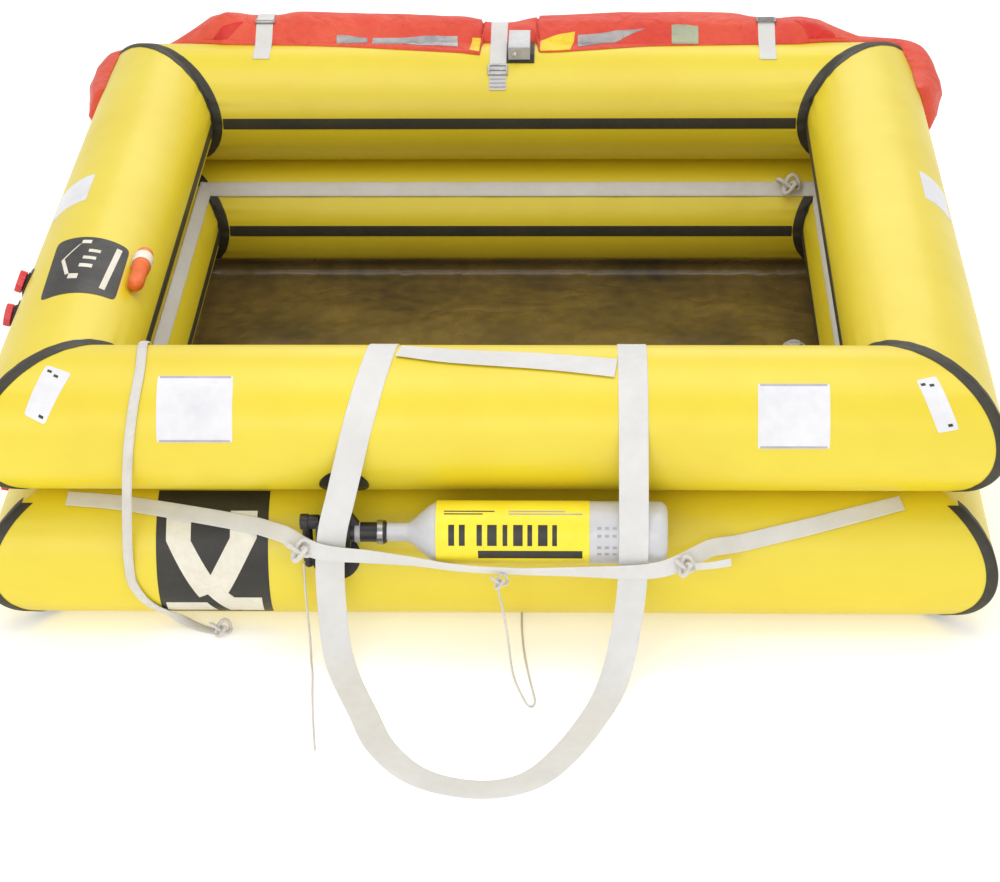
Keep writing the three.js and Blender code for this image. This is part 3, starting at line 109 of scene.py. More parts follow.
# Meshes worked out on grids
def mesh_object(name, points, faces, uvs=None, sharp=35):
    """Object from points and faces, smooth but for edges over an angle, with a UV pair per face corner."""
    mesh = bpy.data.meshes.new(name)
    mesh.from_pydata(np.asarray(points, float).reshape(-1, 3).tolist(), [], faces)
    if uvs is not None:
        layer = mesh.uv_layers.new(name="UVMap")
        layer.data.foreach_set("uv", np.asarray(uvs, np.float32).ravel())
    mesh.polygons.foreach_set("use_smooth", np.ones(len(mesh.polygons), bool))
    mesh.validate()
    mesh.update()
    mesh.set_sharp_from_angle(angle=math.radians(sharp))
    obj = bpy.data.objects.new(name, mesh)
    bpy.context.scene.collection.objects.link(obj)
    return obj


def steps_along(points, axis):
    """Mean running length, in metres, of a grid's rows or columns."""
    gaps = np.linalg.norm(np.diff(points, axis=axis), axis=2).mean(axis=1 - axis)
    return np.concatenate([[0], np.cumsum(gaps)])


def grid_object(name, grid, wrap_rows=False, wrap_columns=False, caps=False, sharp=35):
    """Surface through a grid of points. Rows and columns may close on themselves; open ends may be capped."""
    grid = np.asarray(grid, float)
    rows, columns = grid.shape[:2]
    index = np.arange(rows * columns).reshape(rows, columns)
    full = np.concatenate([grid, grid[:1]]) if wrap_rows else grid
    full = np.concatenate([full, full[:, :1]], axis=1) if wrap_columns else full
    lengths, widths = steps_along(full, 0), steps_along(full, 1)
    if wrap_rows:
        index = np.concatenate([index, index[:1]])
    if wrap_columns:
        index = np.concatenate([index, index[:, :1]], axis=1)
    quads = np.stack([index[:-1, :-1], index[:-1, 1:], index[1:, 1:], index[1:, :-1]], axis=-1).reshape(-1, 4)
    u, v = np.meshgrid(lengths, widths, indexing="ij")
    pair = np.stack([u, v], axis=-1)
    uvs = np.stack([pair[:-1, :-1], pair[:-1, 1:], pair[1:, 1:], pair[1:, :-1]], axis=2).reshape(-1, 4, 2)
    a, b, c, d = (grid.reshape(-1, 3)[quads[:, k]] for k in range(4))
    middle = grid.reshape(-1, 3).mean(axis=0)
    crossed = np.cross(b - middle, c - middle) + np.cross(c - middle, d - middle)
    volume = np.einsum("ij,ij->i", a - middle, crossed)
    flip = wrap_columns and volume.sum() < 0
    if flip:
        quads, uvs = quads[:, ::-1], uvs[:, ::-1]
    faces = quads.tolist()
    corners = uvs.reshape(-1, 2).tolist()
    if caps:
        first, last = list(range(columns)), list(range((rows - 1) * columns, rows * columns))
        for loop, forward in ((first, flip), (last, not flip)):
            order = loop if forward else loop[::-1]
            faces.append(order)
            corners += [[lengths[0], widths[i % columns]] for i in range(columns)]
    return mesh_object(name, grid, faces, corners, sharp)


def closed_strip(name, grid, sharp=50):
    """Closed solid of sections that stand in a row, its two ends capped."""
    return grid_object(name, grid, wrap_columns=True, caps=True, sharp=sharp)


def finish_piece(obj, body, material, nodes=()):
    """Gives a piece its finish, the body it moves with and the nodes it stands for."""
    obj.data.materials.clear()
    obj.data.materials.append(MATERIALS[material])
    if nodes:
        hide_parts(*nodes)
    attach(obj, body)
    return obj


def tube_place(arm, along, angle, radius, height):
    """Place round an arm's tube: angle 0 is its outer side, 90 its top and 180 its inner side."""
    (ax, ay), (ox, oy), offset, _ = ARMS[arm]
    angle = np.radians(angle)
    reach = offset + radius * np.cos(angle)
    if arm in ("back", "left"):
        along = -np.asarray(along)
    x = ax * along + ox * reach
    y = ay * along + oy * reach
    return np.stack(np.broadcast_arrays(x, y, height + radius * np.sin(angle)), axis=-1)


def tube_normal(arm, angle):
    """Outward direction of an arm's tube at an angle."""
    _, (ox, oy), _, _ = ARMS[arm]
    angle = np.radians(np.asarray(angle, float))
    return np.stack([ox * np.cos(angle), oy * np.cos(angle), np.sin(angle)], axis=-1)


def mitre_distance(arm, along, angle):
    """How far a place on an arm is from the nearer of its two mitre planes."""
    half = ARMS[arm][3]
    return half + TUBE * np.cos(np.radians(angle)) - np.abs(along)


def tube_skin(arm, along, angle):
    """
    Radius of the inflated skin: the tube's own, slow waves under 0.4 mm, and puckers at each mitre that run
    along the tube and fade over 60 mm, deepest on the inner side where the fabric is gathered.
    """
    along, angle = np.broadcast_arrays(np.asarray(along, float), np.asarray(angle, float))
    turn = np.radians(angle)
    number = {"front": 0.7, "right": 2.1, "back": 3.9, "left": 5.2}[arm]
    slow = 0.00022 * np.sin(3 * turn + 4.1 * along + number)
    slow = slow + 0.00016 * np.sin(2 * turn - 7.3 * along + 2 * number)
    distance = np.clip(mitre_distance(arm, along, angle), 0, None)
    gather = 0.35 + 0.65 * np.clip(-np.cos(turn), 0, 1)
    folds = np.sin(23 * turn + 2 * number) + 0.6 * np.sin(37 * turn + 5 * number)
    folds = folds + 0.4 * np.sin(11 * turn - number)
    tight = np.minimum(distance / 0.012, 1)
    puckers = 0.0009 * gather * folds * np.exp(-distance / 0.055) * tight
    drawn_in = 0.0004 * np.exp(-distance / 0.05)
    return TUBE + SKIN_LIFT + slow * np.minimum(distance / 0.05, 1) + puckers - drawn_in


# Finishes
def colour(red, green, blue):
    """Linear colour from an sRGB one in 0 to 255."""
    srgb = np.array([red, green, blue]) / 255
    linear = np.where(srgb <= 0.04045, srgb / 12.92, ((srgb + 0.055) / 1.055) ** 2.4)
    return (*linear.tolist(), 1.0)


class Tree:
    """A node tree with short calls to add and join nodes."""

    def __init__(self, tree):
        self.tree = tree

    def add(self, kind, inputs=None, **settings):
        node = self.tree.nodes.new(kind)
        for key, value in settings.items():
            setattr(node, key, value)
        for key, value in (inputs or {}).items():
            self.put(node.inputs[key], value)
        return node

    def put(self, socket, value):
        if isinstance(value, bpy.types.NodeSocket):
            self.tree.links.new(value, socket)
        else:
            socket.default_value = value

    def maths(self, operation, first, second=0.0, third=0.0):
        node = self.tree.nodes.new("ShaderNodeMath")
        node.operation = operation
        for socket, value in zip(node.inputs, (first, second, third)):
            self.put(socket, value)
        return node.outputs[0]

    def blend(self, share, first, second):
        node = self.tree.nodes.new("ShaderNodeMix")
        node.data_type = "RGBA"
        self.put(node.inputs[0], share)
        self.put(node.inputs[6], first)
        self.put(node.inputs[7], second)
        return node.outputs[2]

    def spread(self, value, low, high, to_low=0.0, to_high=1.0):
        inputs = {"Value": value, "From Min": low, "From Max": high, "To Min": to_low, "To Max": to_high}
        return self.add("ShaderNodeMapRange", inputs).outputs[0]


def make_group(name, inputs, outputs, build):
    """Shader node group with named sockets, filled by build(tree, inputs) which gives the outputs' values."""
    group = bpy.data.node_groups.new(name, "ShaderNodeTree")
    for label, kind, value in inputs:
        socket = group.interface.new_socket(name=label, in_out="INPUT", socket_type=kind)
        if value is not None:
            socket.default_value = value
    for label, kind in outputs:
        group.interface.new_socket(name=label, in_out="OUTPUT", socket_type=kind)
    tree = Tree(group)
    entry, leave = group.nodes.new("NodeGroupInput"), group.nodes.new("NodeGroupOutput")
    for socket, value in zip(leave.inputs, build(tree, entry.outputs)):
        group.links.new(value, socket)
    return group


def build_mottle(tree, ins):
    """Soft clouds of two sizes, 0 to 1, for uneven dye, dirt and handling."""
    wide = tree.add("ShaderNodeTexNoise", {"Vector": ins["Vector"], "Scale": ins["Scale"], "Detail": 3.0})
    finer = tree.maths("MULTIPLY", ins["Scale"], 6.3)
    fine = tree.add("ShaderNodeTexNoise", {"Vector": ins["Vector"], "Scale": finer, "Detail": 2.0})
    wide_share = tree.maths("MULTIPLY", wide.outputs[0], 0.7)
    both = tree.maths("ADD", wide_share, tree.maths("MULTIPLY", fine.outputs[0], 0.3))
    return [tree.spread(both, 0.32, 0.68)]


def build_weave(tree, ins):
    """Plain weave on the UV map in metres: warp and weft ribs that pass over each other in turn. Its second
    output is painted shade for the cells where one set of threads lies on top.
    """
    split = tree.add("ShaderNodeSeparateXYZ", {"Vector": ins["Vector"]})
    ribs = []
    for axis in (0, 1):
        turns = tree.maths("MULTIPLY", tree.maths("DIVIDE", split.outputs[axis], ins["Pitch"]), math.pi)
        ribs.append(tree.maths("SINE", turns))
    crossing = tree.maths("MULTIPLY", ribs[0], ribs[1])
    height = tree.maths("ABSOLUTE", crossing)
    return [height, tree.spread(crossing, -1.0, 1.0)]


def build_creases(tree, ins):
    """Sharp crumple lines: the folded-over middle of a noise, so that creases meet as in thin sheeting."""
    bent = tree.add("ShaderNodeTexNoise", {"Vector": ins["Vector"], "Scale": ins["Scale"], "Detail": 2.5,
                                          "Distortion": 0.6})
    ridge = tree.maths("ABSOLUTE", tree.maths("SUBTRACT", bent.outputs[0], 0.5))
    return [tree.spread(ridge, 0.0, 0.16)]


GROUPS = {
    "mottle": make_group("mottle", [("Vector", "NodeSocketVector", None), ("Scale", "NodeSocketFloat", 5.0)],
                         [("Value", "NodeSocketFloat")], build_mottle),
    "weave": make_group("weave", [("Vector", "NodeSocketVector", None), ("Pitch", "NodeSocketFloat", 0.001)],
                        [("Height", "NodeSocketFloat"), ("Side", "NodeSocketFloat")], build_weave),
    "creases": make_group("creases",
                          [("Vector", "NodeSocketVector", None), ("Scale", "NodeSocketFloat", 8.0)],
                          [("Height", "NodeSocketFloat")], build_creases),
}
MATERIALS = {}


def finish(name, base, shade, roughness, scale, *, spread=0.05, bumps=(), metallic=0.0,
           sheen=0.0, coat=0.0, specular=0.5, transmission=0.0, ior=1.5, side=None, thread_shade_share=0.15):
    """
    Material whose colour clouds between base and shade, with a roughness that follows the clouds and
    bumps given as (kind, size, depth): creases and grain by Object coordinates, weave by the UV map. A weave
    with a side colour also darkens the threads that lie on top one way towards it: painted shade.
    """
    material = bpy.data.materials.new(name)
    material.use_nodes = True
    tree = Tree(material.node_tree)
    shader = material.node_tree.nodes["Principled BSDF"]
    places = tree.add("ShaderNodeTexCoord")
    where = places.outputs["Object"]
    clouds = tree.add("ShaderNodeGroup", node_tree=GROUPS["mottle"])
    tree.put(clouds.inputs["Vector"], where)
    clouds.inputs["Scale"].default_value = scale
    tone = tree.blend(clouds.outputs[0], base, shade)
    normal = None
    for kind, size, depth in bumps:
        if kind == "weave":
            node = tree.add("ShaderNodeGroup", node_tree=GROUPS["weave"])
            tree.put(node.inputs["Vector"], places.outputs["UV"])
            node.inputs["Pitch"].default_value = size
            # painted shade: the side colour darkens the weave's threads that lie on top one way
            if side is not None:
                thread_shade = tree.maths("MULTIPLY", node.outputs["Side"], thread_shade_share)
                tone = tree.blend(thread_shade, tone, side)
        elif kind == "creases":
            node = tree.add("ShaderNodeGroup", node_tree=GROUPS["creases"])
            tree.put(node.inputs["Vector"], where)
            node.inputs["Scale"].default_value = size
        else:
            node = tree.add("ShaderNodeTexNoise", {"Vector": where, "Scale": size, "Detail": 4.0})
        bump = tree.add("ShaderNodeBump", {"Height": node.outputs[0], "Strength": 1.0, "Distance": depth})
        if normal is not None:
            tree.put(bump.inputs["Normal"], normal)
        normal = bump.outputs[0]
    tree.put(shader.inputs["Base Color"], tone)
    low, high = max(0.02, roughness - spread), min(1.0, roughness + spread)
    tree.put(shader.inputs["Roughness"], tree.spread(clouds.outputs[0], 0.0, 1.0, low, high))
    shader.inputs["Metallic"].default_value = metallic
    shader.inputs["Specular IOR Level"].default_value = specular
    shader.inputs["Sheen Weight"].default_value = sheen
    shader.inputs["Coat Weight"].default_value = coat
    shader.inputs["Transmission Weight"].default_value = transmission
    shader.inputs["IOR"].default_value = ior
    if normal is not None:
        tree.put(shader.inputs["Normal"], normal)
    MATERIALS[name] = material


def make_finishes():
    """Every finish on the raft."""
    finish("raft_yellow", colour(229, 209, 40), colour(224, 200, 34), 0.40, 2.4, spread=0.04, specular=0.75,
           bumps=[("grain", 5.0, 0.0012), ("grain", 900.0, 0.00006)])
    finish("seam_tape", colour(58, 54, 40), colour(44, 41, 31), 0.55, 14.0, bumps=[("grain", 700.0, 0.00012)])
    finish("floor_brown", colour(132, 109, 56), colour(76, 64, 42), 0.30, 5.0, spread=0.08, specular=0.6,
           bumps=[("creases", 5.0, 0.0035), ("grain", 26.0, 0.0012)])
    finish("canopy_orange", colour(224, 82, 50), colour(208, 50, 28), 0.55, 6.0, sheen=0.05,
           bumps=[("creases", 16.0, 0.0022), ("creases", 42.0, 0.0007), ("grain", 900.0, 0.0001)])
    finish("canopy_red", colour(222, 40, 22), colour(188, 24, 14), 0.5, 9.0,
           bumps=[("creases", 22.0, 0.002), ("grain", 900.0, 0.0001)])
    finish("window_film", colour(176, 172, 172), colour(132, 128, 132), 0.22, 12.0, spread=0.1, specular=0.7,
           bumps=[("creases", 18.0, 0.002)])
    finish("window_green", colour(176, 180, 150), colour(150, 156, 130), 0.3, 12.0,
           bumps=[("creases", 20.0, 0.0015)])
    finish("canopy_yellow", colour(240, 216, 30), colour(226, 190, 22), 0.45, 9.0,
           bumps=[("creases", 16.0, 0.0015), ("grain", 900.0, 0.00008)])
    # the side colours of the webbing and rope are painted shade on their threads
    finish("white_webbing", colour(240, 239, 237), colour(226, 224, 221), 0.75, 9.0, sheen=0.2,
           side=colour(206, 203, 199), thread_shade_share=0.35, bumps=[("weave", 0.0016, 0.0005)])
    finish("shaded_webbing", colour(236, 228, 206), colour(216, 204, 176), 0.75, 9.0, sheen=0.2,
           side=colour(196, 184, 156), thread_shade_share=0.35, bumps=[("weave", 0.0016, 0.0005)])
    finish("white_rope", colour(243, 240, 235), colour(224, 219, 210), 0.8, 22.0, sheen=0.2,
           side=colour(200, 194, 184), thread_shade_share=0.4, bumps=[("weave", 0.0024, 0.0009)])
    finish("buckle_steel", colour(172, 170, 168), colour(128, 126, 126), 0.32, 60.0, metallic=1.0,
           bumps=[("grain", 260.0, 0.0001)])
    finish("grey_paint", colour(204, 204, 207), colour(190, 190, 194), 0.38, 12.0, coat=0.15,
           bumps=[("grain", 340.0, 0.00012)])
    finish("label_yellow", colour(244, 228, 54), colour(238, 216, 40), 0.42, 12.0,
           bumps=[("grain", 60.0, 0.0001)])
    finish("label_print", colour(34, 33, 28), colour(52, 50, 42), 0.45, 30.0)
    finish("label_grey", colour(172, 172, 176), colour(150, 150, 154), 0.5, 30.0)
    finish("black_moulding", colour(34, 33, 33), colour(24, 23, 24), 0.42, 30.0,
           bumps=[("grain", 420.0, 0.00015)])
    finish("white_moulding", colour(208, 208, 208), colour(186, 186, 188), 0.42, 24.0,
           bumps=[("grain", 420.0, 0.0001)])
    finish("grey_moulding", colour(168, 166, 166), colour(146, 144, 146), 0.4, 30.0,
           bumps=[("grain", 420.0, 0.0001)])
    finish("clear_lens", colour(240, 238, 230), colour(226, 224, 216), 0.06, 40.0, transmission=0.7, ior=1.45)
    finish("red_moulding", colour(222, 36, 44), colour(190, 20, 30), 0.32, 30.0, coat=0.2)
    finish("lamp_orange", colour(238, 122, 52), colour(220, 96, 36), 0.38, 24.0,
           bumps=[("grain", 300.0, 0.0001)])
    finish("lamp_white", colour(244, 236, 222), colour(226, 214, 196), 0.5, 24.0)
    finish("patch_white", colour(232, 231, 233), colour(216, 215, 219), 0.34, 10.0, specular=0.6,
           bumps=[("weave", 0.0022, 0.0002), ("creases", 12.0, 0.0006)])
    finish("patch_hem", colour(186, 180, 190), colour(166, 160, 172), 0.5, 30.0)
    finish("sign_black", colour(44, 42, 36), colour(34, 32, 28), 0.45, 16.0, bumps=[("grain", 500.0, 0.0001)])
    finish("sign_white", colour(232, 228, 214), colour(214, 208, 190), 0.45, 20.0)


# Rings, tapes and floor
def ring_grid(height):
    """
    Whole ring: for each arm, stations run from one mitre plane to the next and angles go once round. A
    station's place along the arm is its share of the way between the two mitre planes at that angle.
    """
    edge = np.array([0, 0.012, 0.025, 0.04, 0.06, 0.085, 0.115, 0.15, 0.2])
    shares = np.concatenate([edge * 0.5, np.linspace(0.14, 0.86, 19), 1 - edge[:0:-1] * 0.5])
    angles = np.arange(0, 360, 2.5)[None, :]
    rows = []
    for arm, (_, _, _, half) in ARMS.items():
        along = (2 * shares[:, None] - 1) * (half + TUBE * np.cos(np.radians(angles)))
        if arm in ("back", "left"):
            along = -along
        rows.append(tube_place(arm, along, angles, tube_skin(arm, along, angles), height))
    return np.concatenate(rows)


def corner_tape_grid(corner, height, upward):
    """Tape across one mitre: its section is a shallow V of a millimetre, carried round the tube."""
    side_x, side_y = CORNERS[corner]
    swept = np.arange(-62, 242.1, 2.0)
    angles = swept if upward else -swept
    across = np.array([-1, -0.9, -0.6, -0.3, -0.06, 0.06, 0.3, 0.6, 0.9, 1.0]) * TAPE_REACH
    arm_x = "front" if side_y < 0 else "back"
    arm_y = "left" if side_x < 0 else "right"
    middle = (len(swept) - 1) / 2
    ends = np.clip((np.abs(np.arange(len(swept)) - middle) - middle + 3) / 3, 0, 1)
    rows = []
    for lift in (0.0012, 0.0002):
        for place in across if lift > 0.001 else across[::-1]:
            arm, side = (arm_x, side_x) if place < 0 else (arm_y, side_y)
            limit = ARMS[arm][3] + TUBE * np.cos(np.radians(angles)) - abs(place)
            thin = 0.0005 if abs(place) > 0.95 * TAPE_REACH and lift > 0.001 else 0
            pressed = 0.0004 * (lift > 0.001) * ends
            radius = tube_skin(arm, side * limit, angles) + lift + SEAT_GAP - thin - pressed
            rows.append(tube_place(arm, side * limit, angles, radius, height))
    grid = np.stack(rows, axis=1)
    grid[..., 2] = np.maximum(grid[..., 2], 0)
    return grid


def seam_tape_grid(arm, height):
    """Tape along the inner side of an arm, from one corner tape to the other."""
    end = ARMS[arm][3] - TUBE - TAPE_REACH - 0.002
    along = np.linspace(-end, end, 60)[:, None]
    outer = np.array([174.4, 174.8, 177, 180, 183, 185.2, 185.6])
    angles = np.concatenate([outer, outer[::-1]])[None, :]
    over = [0.0007, *[0.0013] * 5, 0.0007]
    lift = np.concatenate([over, np.full(7, SEAT_GAP)])[None, :]
    return tube_place(arm, along, angles, TUBE + SKIN_LIFT + lift, height)


def floor_height(x, y):
    """
    Height of the loose floor: broad ridges that run along the raft, with finer crossing ripples, all
    dying out at the hem and round the drain.
    """
    ridge = 0.5 + 0.5 * np.sin(2 * np.pi * (y / 0.27 + 0.10 * np.sin(5.1 * x + 0.4) + 0.04 * np.sin(13 * x)))
    second = 0.5 + 0.5 * np.sin(2 * np.pi * (0.9 * y / 0.17 + x / 0.9 + 0.2))
    cross = 0.5 + 0.5 * np.sin(2 * np.pi * (x / 0.31 + 0.35 * y))
    ripple = np.abs(np.sin(19 * x + 6 * np.sin(7 * y))) * np.abs(np.sin(23 * y + 3 * np.sin(5 * x)))
    height = 0.0048 * ridge**3 + 0.0026 * second**4 + 0.0018 * cross**3 + 0.0012 * ripple
    edge = np.clip((0.628 - np.abs(x)) / 0.10, 0, 1) * np.clip((0.590 - np.abs(y)) / 0.10, 0, 1)
    drain = np.clip((np.hypot(x - 0.600, y - 0.290) - 0.03) / 0.07, 0, 1)
    return height * edge**0.8 * drain


def floor_grid():
    """
    Floor as rings of a rectangle: an inner field of shrinking rectangles, the arc that curls up at the
    edge and the hem on the ring, top side first and then the underside.
    """
    seat = (0.1263 / math.cos(math.radians(5.625))) + 0.0006
    top, low = math.radians(37), math.radians(46)
    curl = (LOW - seat * math.sin(low)) / (1 + math.sin(low))
    centre = (seat + curl) * math.cos(low)
    turn = (math.pi / 2 + low) * np.linspace(0, 1, 12)

    def section(thick):
        radius = curl - thick
        arc = np.stack([centre - radius * np.sin(turn), curl - radius * np.cos(turn)], axis=1)
        reach = seat + thick
        hem = [[reach * math.cos(a), LOW - reach * math.sin(a)] for a in (0.5 * (top + low), top)]
        field = np.linspace(0.7, centre, 60)[:-1]
        flat = np.stack([field, np.full(len(field), thick)], axis=1)
        return np.concatenate([flat, arc, hem])

    upper, under = section(0.0015), section(0.0)
    around = np.linspace(0, 4, 4 * 48, endpoint=False)
    side = around.astype(int)
    share = 2 * (around - side) - 1
    along_x = np.choose(side, [share, np.ones_like(share), -share, -np.ones_like(share)])
    along_y = np.choose(side, [-np.ones_like(share), share, np.ones_like(share), -share])
    rings = []
    for thick, points in ((1, upper), (0, under[::-1])):
        half_x = np.maximum(CENTRE_X - points[:, :1], 0.056)
        half_y = np.maximum(CENTRE_Y - points[:, :1], 0.0185)
        x, y = half_x * along_x, half_y * along_y
        z = points[:, 1:] + floor_height(x, y) + 0 * x
        rings.append(np.stack([x, y, z], axis=-1))
    return np.concatenate(rings)


def add_hull():
    """Both rings with their tapes, and the floor."""
    for ring, height in (("upper", UP), ("lower", LOW)):
        grid = ring_grid(height)
        tube = grid_object(f"{ring}_ring_skin", grid, wrap_rows=True, wrap_columns=True, sharp=40)
        finish_piece(tube, "raft", "raft_yellow", [f"{ring}_buoyancy_tube"])
        for corner in CORNERS:
            grid = corner_tape_grid(corner, height, ring == "upper")
            tape = closed_strip(f"{ring}_mitre_tape_{corner}", grid, 60)
            finish_piece(tape, "raft", "seam_tape", [f"{ring}_corner_tape_{corner}"])
        for arm in ARMS:
            tape = closed_strip(f"{ring}_inner_tape_{arm}", seam_tape_grid(arm, height), 35)
            finish_piece(tape, "raft", "seam_tape", [f"{ring}_seam_tape_{arm}"])
    floor = closed_strip("floor_cloth", floor_grid(), 60)
    finish_piece(floor, "raft", "floor_brown", ["floor_sheet"])


# Canopy
CANOPY_LOW = -26
ROLL_END = 82
CANOPY_STRAPS = {"left": (-0.529, 112), "centre": (-0.023, 147), "right": (0.550, 114)}


def strap_nearness(x, width):
    """1 under a canopy strap, falling to 0 over a width beside it."""
    beside = [np.clip(np.abs(x - place) - 0.020, 0, None) for place, _ in CANOPY_STRAPS.values()]
    nearest = np.min(beside, axis=0)
    return np.exp(-((nearest / width) ** 2))


def canopy_stations():
    """
    Stations round the back of the raft: side, corner, back, corner, side. Each has the tube's axis
    point, the outward direction, its stretch at the corner, the top edge's angle, the bulk and the
    running place.
    """
    rows = []
    for sign in (-1, 1):
        share = np.linspace(0, 1, 14, endpoint=False)
        wide, narrow, high = (0.032, 0.016, 46) if sign < 0 else (0.044, 0.030, 58)
        place_x = np.full(14, sign * CENTRE_X)
        side = np.stack([place_x, CENTRE_Y - 0.090 * (1 - share), np.full(14, float(sign)), np.zeros(14),
                         np.ones(14), np.full(14, 32.0), wide * (0.25 + 0.75 * np.sqrt(share)),
                         sign * (CENTRE_X + 0.37 - 0.15 * share)], axis=1)
        share = np.linspace(0, 1, 26, endpoint=False)
        turn = np.radians(90 * share)
        stretch = (np.cos(turn) ** 6 + np.sin(turn) ** 6) ** (-1 / 6)
        place_x, place_y = np.full(26, sign * CENTRE_X), np.full(26, CENTRE_Y)
        corner = np.stack([place_x, place_y, sign * np.cos(turn), np.sin(turn), stretch,
                           32 + (high - 32) * share, wide + (narrow - wide) * share,
                           sign * (CENTRE_X + 0.22 * (1 - share))], axis=1)
        rows.append(np.concatenate([side, corner]))
    x = np.linspace(-CENTRE_X, CENTRE_X, 230)
    bulk_at = [(-0.755, 0.016), (-0.722, 0.036), (-0.654, 0.072), (-0.540, 0.080), (-0.349, 0.074),
               (-0.100, 0.066), (-0.023, 0.060), (0.080, 0.064), (0.194, 0.069), (0.367, 0.074),
               (0.539, 0.070), (0.669, 0.058), (0.755, 0.030)]
    top_at = [(-0.755, 46), (-0.620, 82), (-0.450, 86), (-0.367, 90), (-0.234, 97), (-0.105, 103),
              (-0.062, 107), (-0.057, 76), (0.058, 76), (0.063, 103), (0.108, 102), (0.194, 97), (0.300, 90),
              (0.620, 84), (0.755, 58)]
    bulk = np.interp(x, *zip(*bulk_at))
    top = np.interp(x, *zip(*top_at))
    back = np.stack([x, np.full(230, CENTRE_Y), np.zeros(230), np.ones(230), np.ones(230), top,
                     bulk * (1 - 0.18 * strap_nearness(x, 0.035)), x], axis=1)
    return np.concatenate([rows[0], back, rows[1][::-1]])


def crumple(place, angle):
    """
    Creased cloth: ridges of several sizes and directions, sharp at their crests, added together. Place
    is metres along the roll and angle degrees round it.
    """
    across = angle / 60.0
    total = 0
    for size, slant, phase, weight in ((5.3, 2.1, 0.3, 1.0), (8.7, -3.4, 1.9, 0.8), (14.1, 5.6, 0.7, 0.55),
                                       (21.3, -7.9, 2.6, 0.4), (3.1, 6.3, 1.1, 0.9), (34.0, 11.0, 0.2, 0.22)):
        wave = size * place + slant * across + phase + 0.8 * np.sin(2.3 * place + 1.7 * across + phase)
        total = total + weight * (1 - 2 * np.abs(np.sin(wave)) ** 0.8)
    return total / 2.2


def canopy_radius(station, angle):
    """Radius of the canopy's outer face: a roll that swells and closes again, and a thin flap before it."""
    top, bulk, place = (station[:, k][:, None] for k in (5, 6, 7))
    end = np.minimum(top, ROLL_END)
    crest = CANOPY_LOW + 0.68 * (end - CANOPY_LOW)
    back = 1 - np.clip((crest - angle) / (crest - CANOPY_LOW), 0, 1) ** 2.4
    front = 1 - np.clip((angle - crest) / (end - crest), 0, 1) ** 2
    swell = np.where(angle < crest, back, front)
    hem = 0.0045 * np.clip((top - angle) / 3, 0.1, 1) * np.clip((angle - CANOPY_LOW) / 4, 0.1, 1)
    loose = 1 - strap_nearness(place, 0.030) * (np.abs(place) < CENTRE_X)
    rough = np.interp(angle, [-26, -10, 15, 40, 62, 74, 84, 110], [0.5, 1.0, 0.7, 0.30, 0.45, 1.0, 0.8, 0.45])
    edge = np.clip((top - angle) / 5, 0, 1) * np.clip((angle - CANOPY_LOW) / 6, 0, 1)
    folds = 0.0062 * rough * edge * loose * crumple(place, angle)
    long_fold = 0.004 * loose * edge * np.exp(-(((angle - 58 - 5 * np.sin(4 * place)) / 5) ** 2))
    return 0.1262 + hem + bulk * swell + np.maximum(folds, -0.003 - 0.6 * bulk * swell) - long_fold


def canopy_point(station, angle, radius):
    """Points at angles and radii of the stations' sections."""
    turn = np.radians(angle)
    reach = radius * np.cos(turn) * station[:, 4][:, None]
    x = station[:, 0][:, None] + station[:, 2][:, None] * reach
    y = station[:, 1][:, None] + station[:, 3][:, None] * reach
    return np.stack([x, y, UP + radius * np.sin(turn)], axis=-1)


def canopy_grid():
    """Closed section at each station: the outer face from low to top edge, and the underside back again."""
    station = canopy_stations()
    spans = [np.linspace(0, 0.1, 8)[:-1], np.linspace(0.1, 0.9, 62), np.linspace(0.9, 1, 10)[1:]]
    share = np.concatenate(spans)
    angle = CANOPY_LOW + (station[:, 5][:, None] - CANOPY_LOW) * share[None, :]
    outer = canopy_point(station, angle, canopy_radius(station, angle))
    seat = station.copy()
    turn = np.arctan2(np.abs(station[:, 2]), np.abs(station[:, 3]))
    seat[:, 4] = 1 / np.maximum(np.cos(turn), np.sin(turn))
    inner = canopy_point(seat, angle[:, ::-4], np.full_like(angle[:, ::-4], 0.1260))
    return np.concatenate([outer, inner], axis=1)


def at_place(place):
    """One interpolated canopy station for each place along the back."""
    station = canopy_stations()
    return np.stack([np.interp(place, station[40:-40, 7], station[40:-40, k]) for k in range(8)], axis=1)


def canopy_patch(name, corners, material):
    """
    Thin panel sewn on the canopy. Its corners are (x, angle) pairs in order round it, and each point
    between them lies on the canopy's own surface, a little proud of it.
    """
    (a, b, c, d) = (np.array(p, float) for p in corners)
    s, t = np.linspace(0, 1, 26)[:, None, None], np.linspace(0, 1, 12)[None, :, None]
    flat = (1 - s) * (1 - t) * a + s * (1 - t) * b + s * t * c + (1 - s) * t * d
    rows = []
    for extra in (0.0012, 0.0002):
        grid = np.empty((26, 12, 3))
        for j in range(12):
            station = at_place(flat[:, j, 0])
            angle = np.minimum(flat[:, j, 1][:, None], station[:, 5:6] - 1.5)
            grid[:, j] = canopy_point(station, angle, canopy_radius(station, angle) + extra)[:, 0]
        rows.append(grid)
    section = np.concatenate([rows[0], rows[1][:, ::-1]], axis=1)
    return finish_piece(closed_strip(name, section), "raft", material)


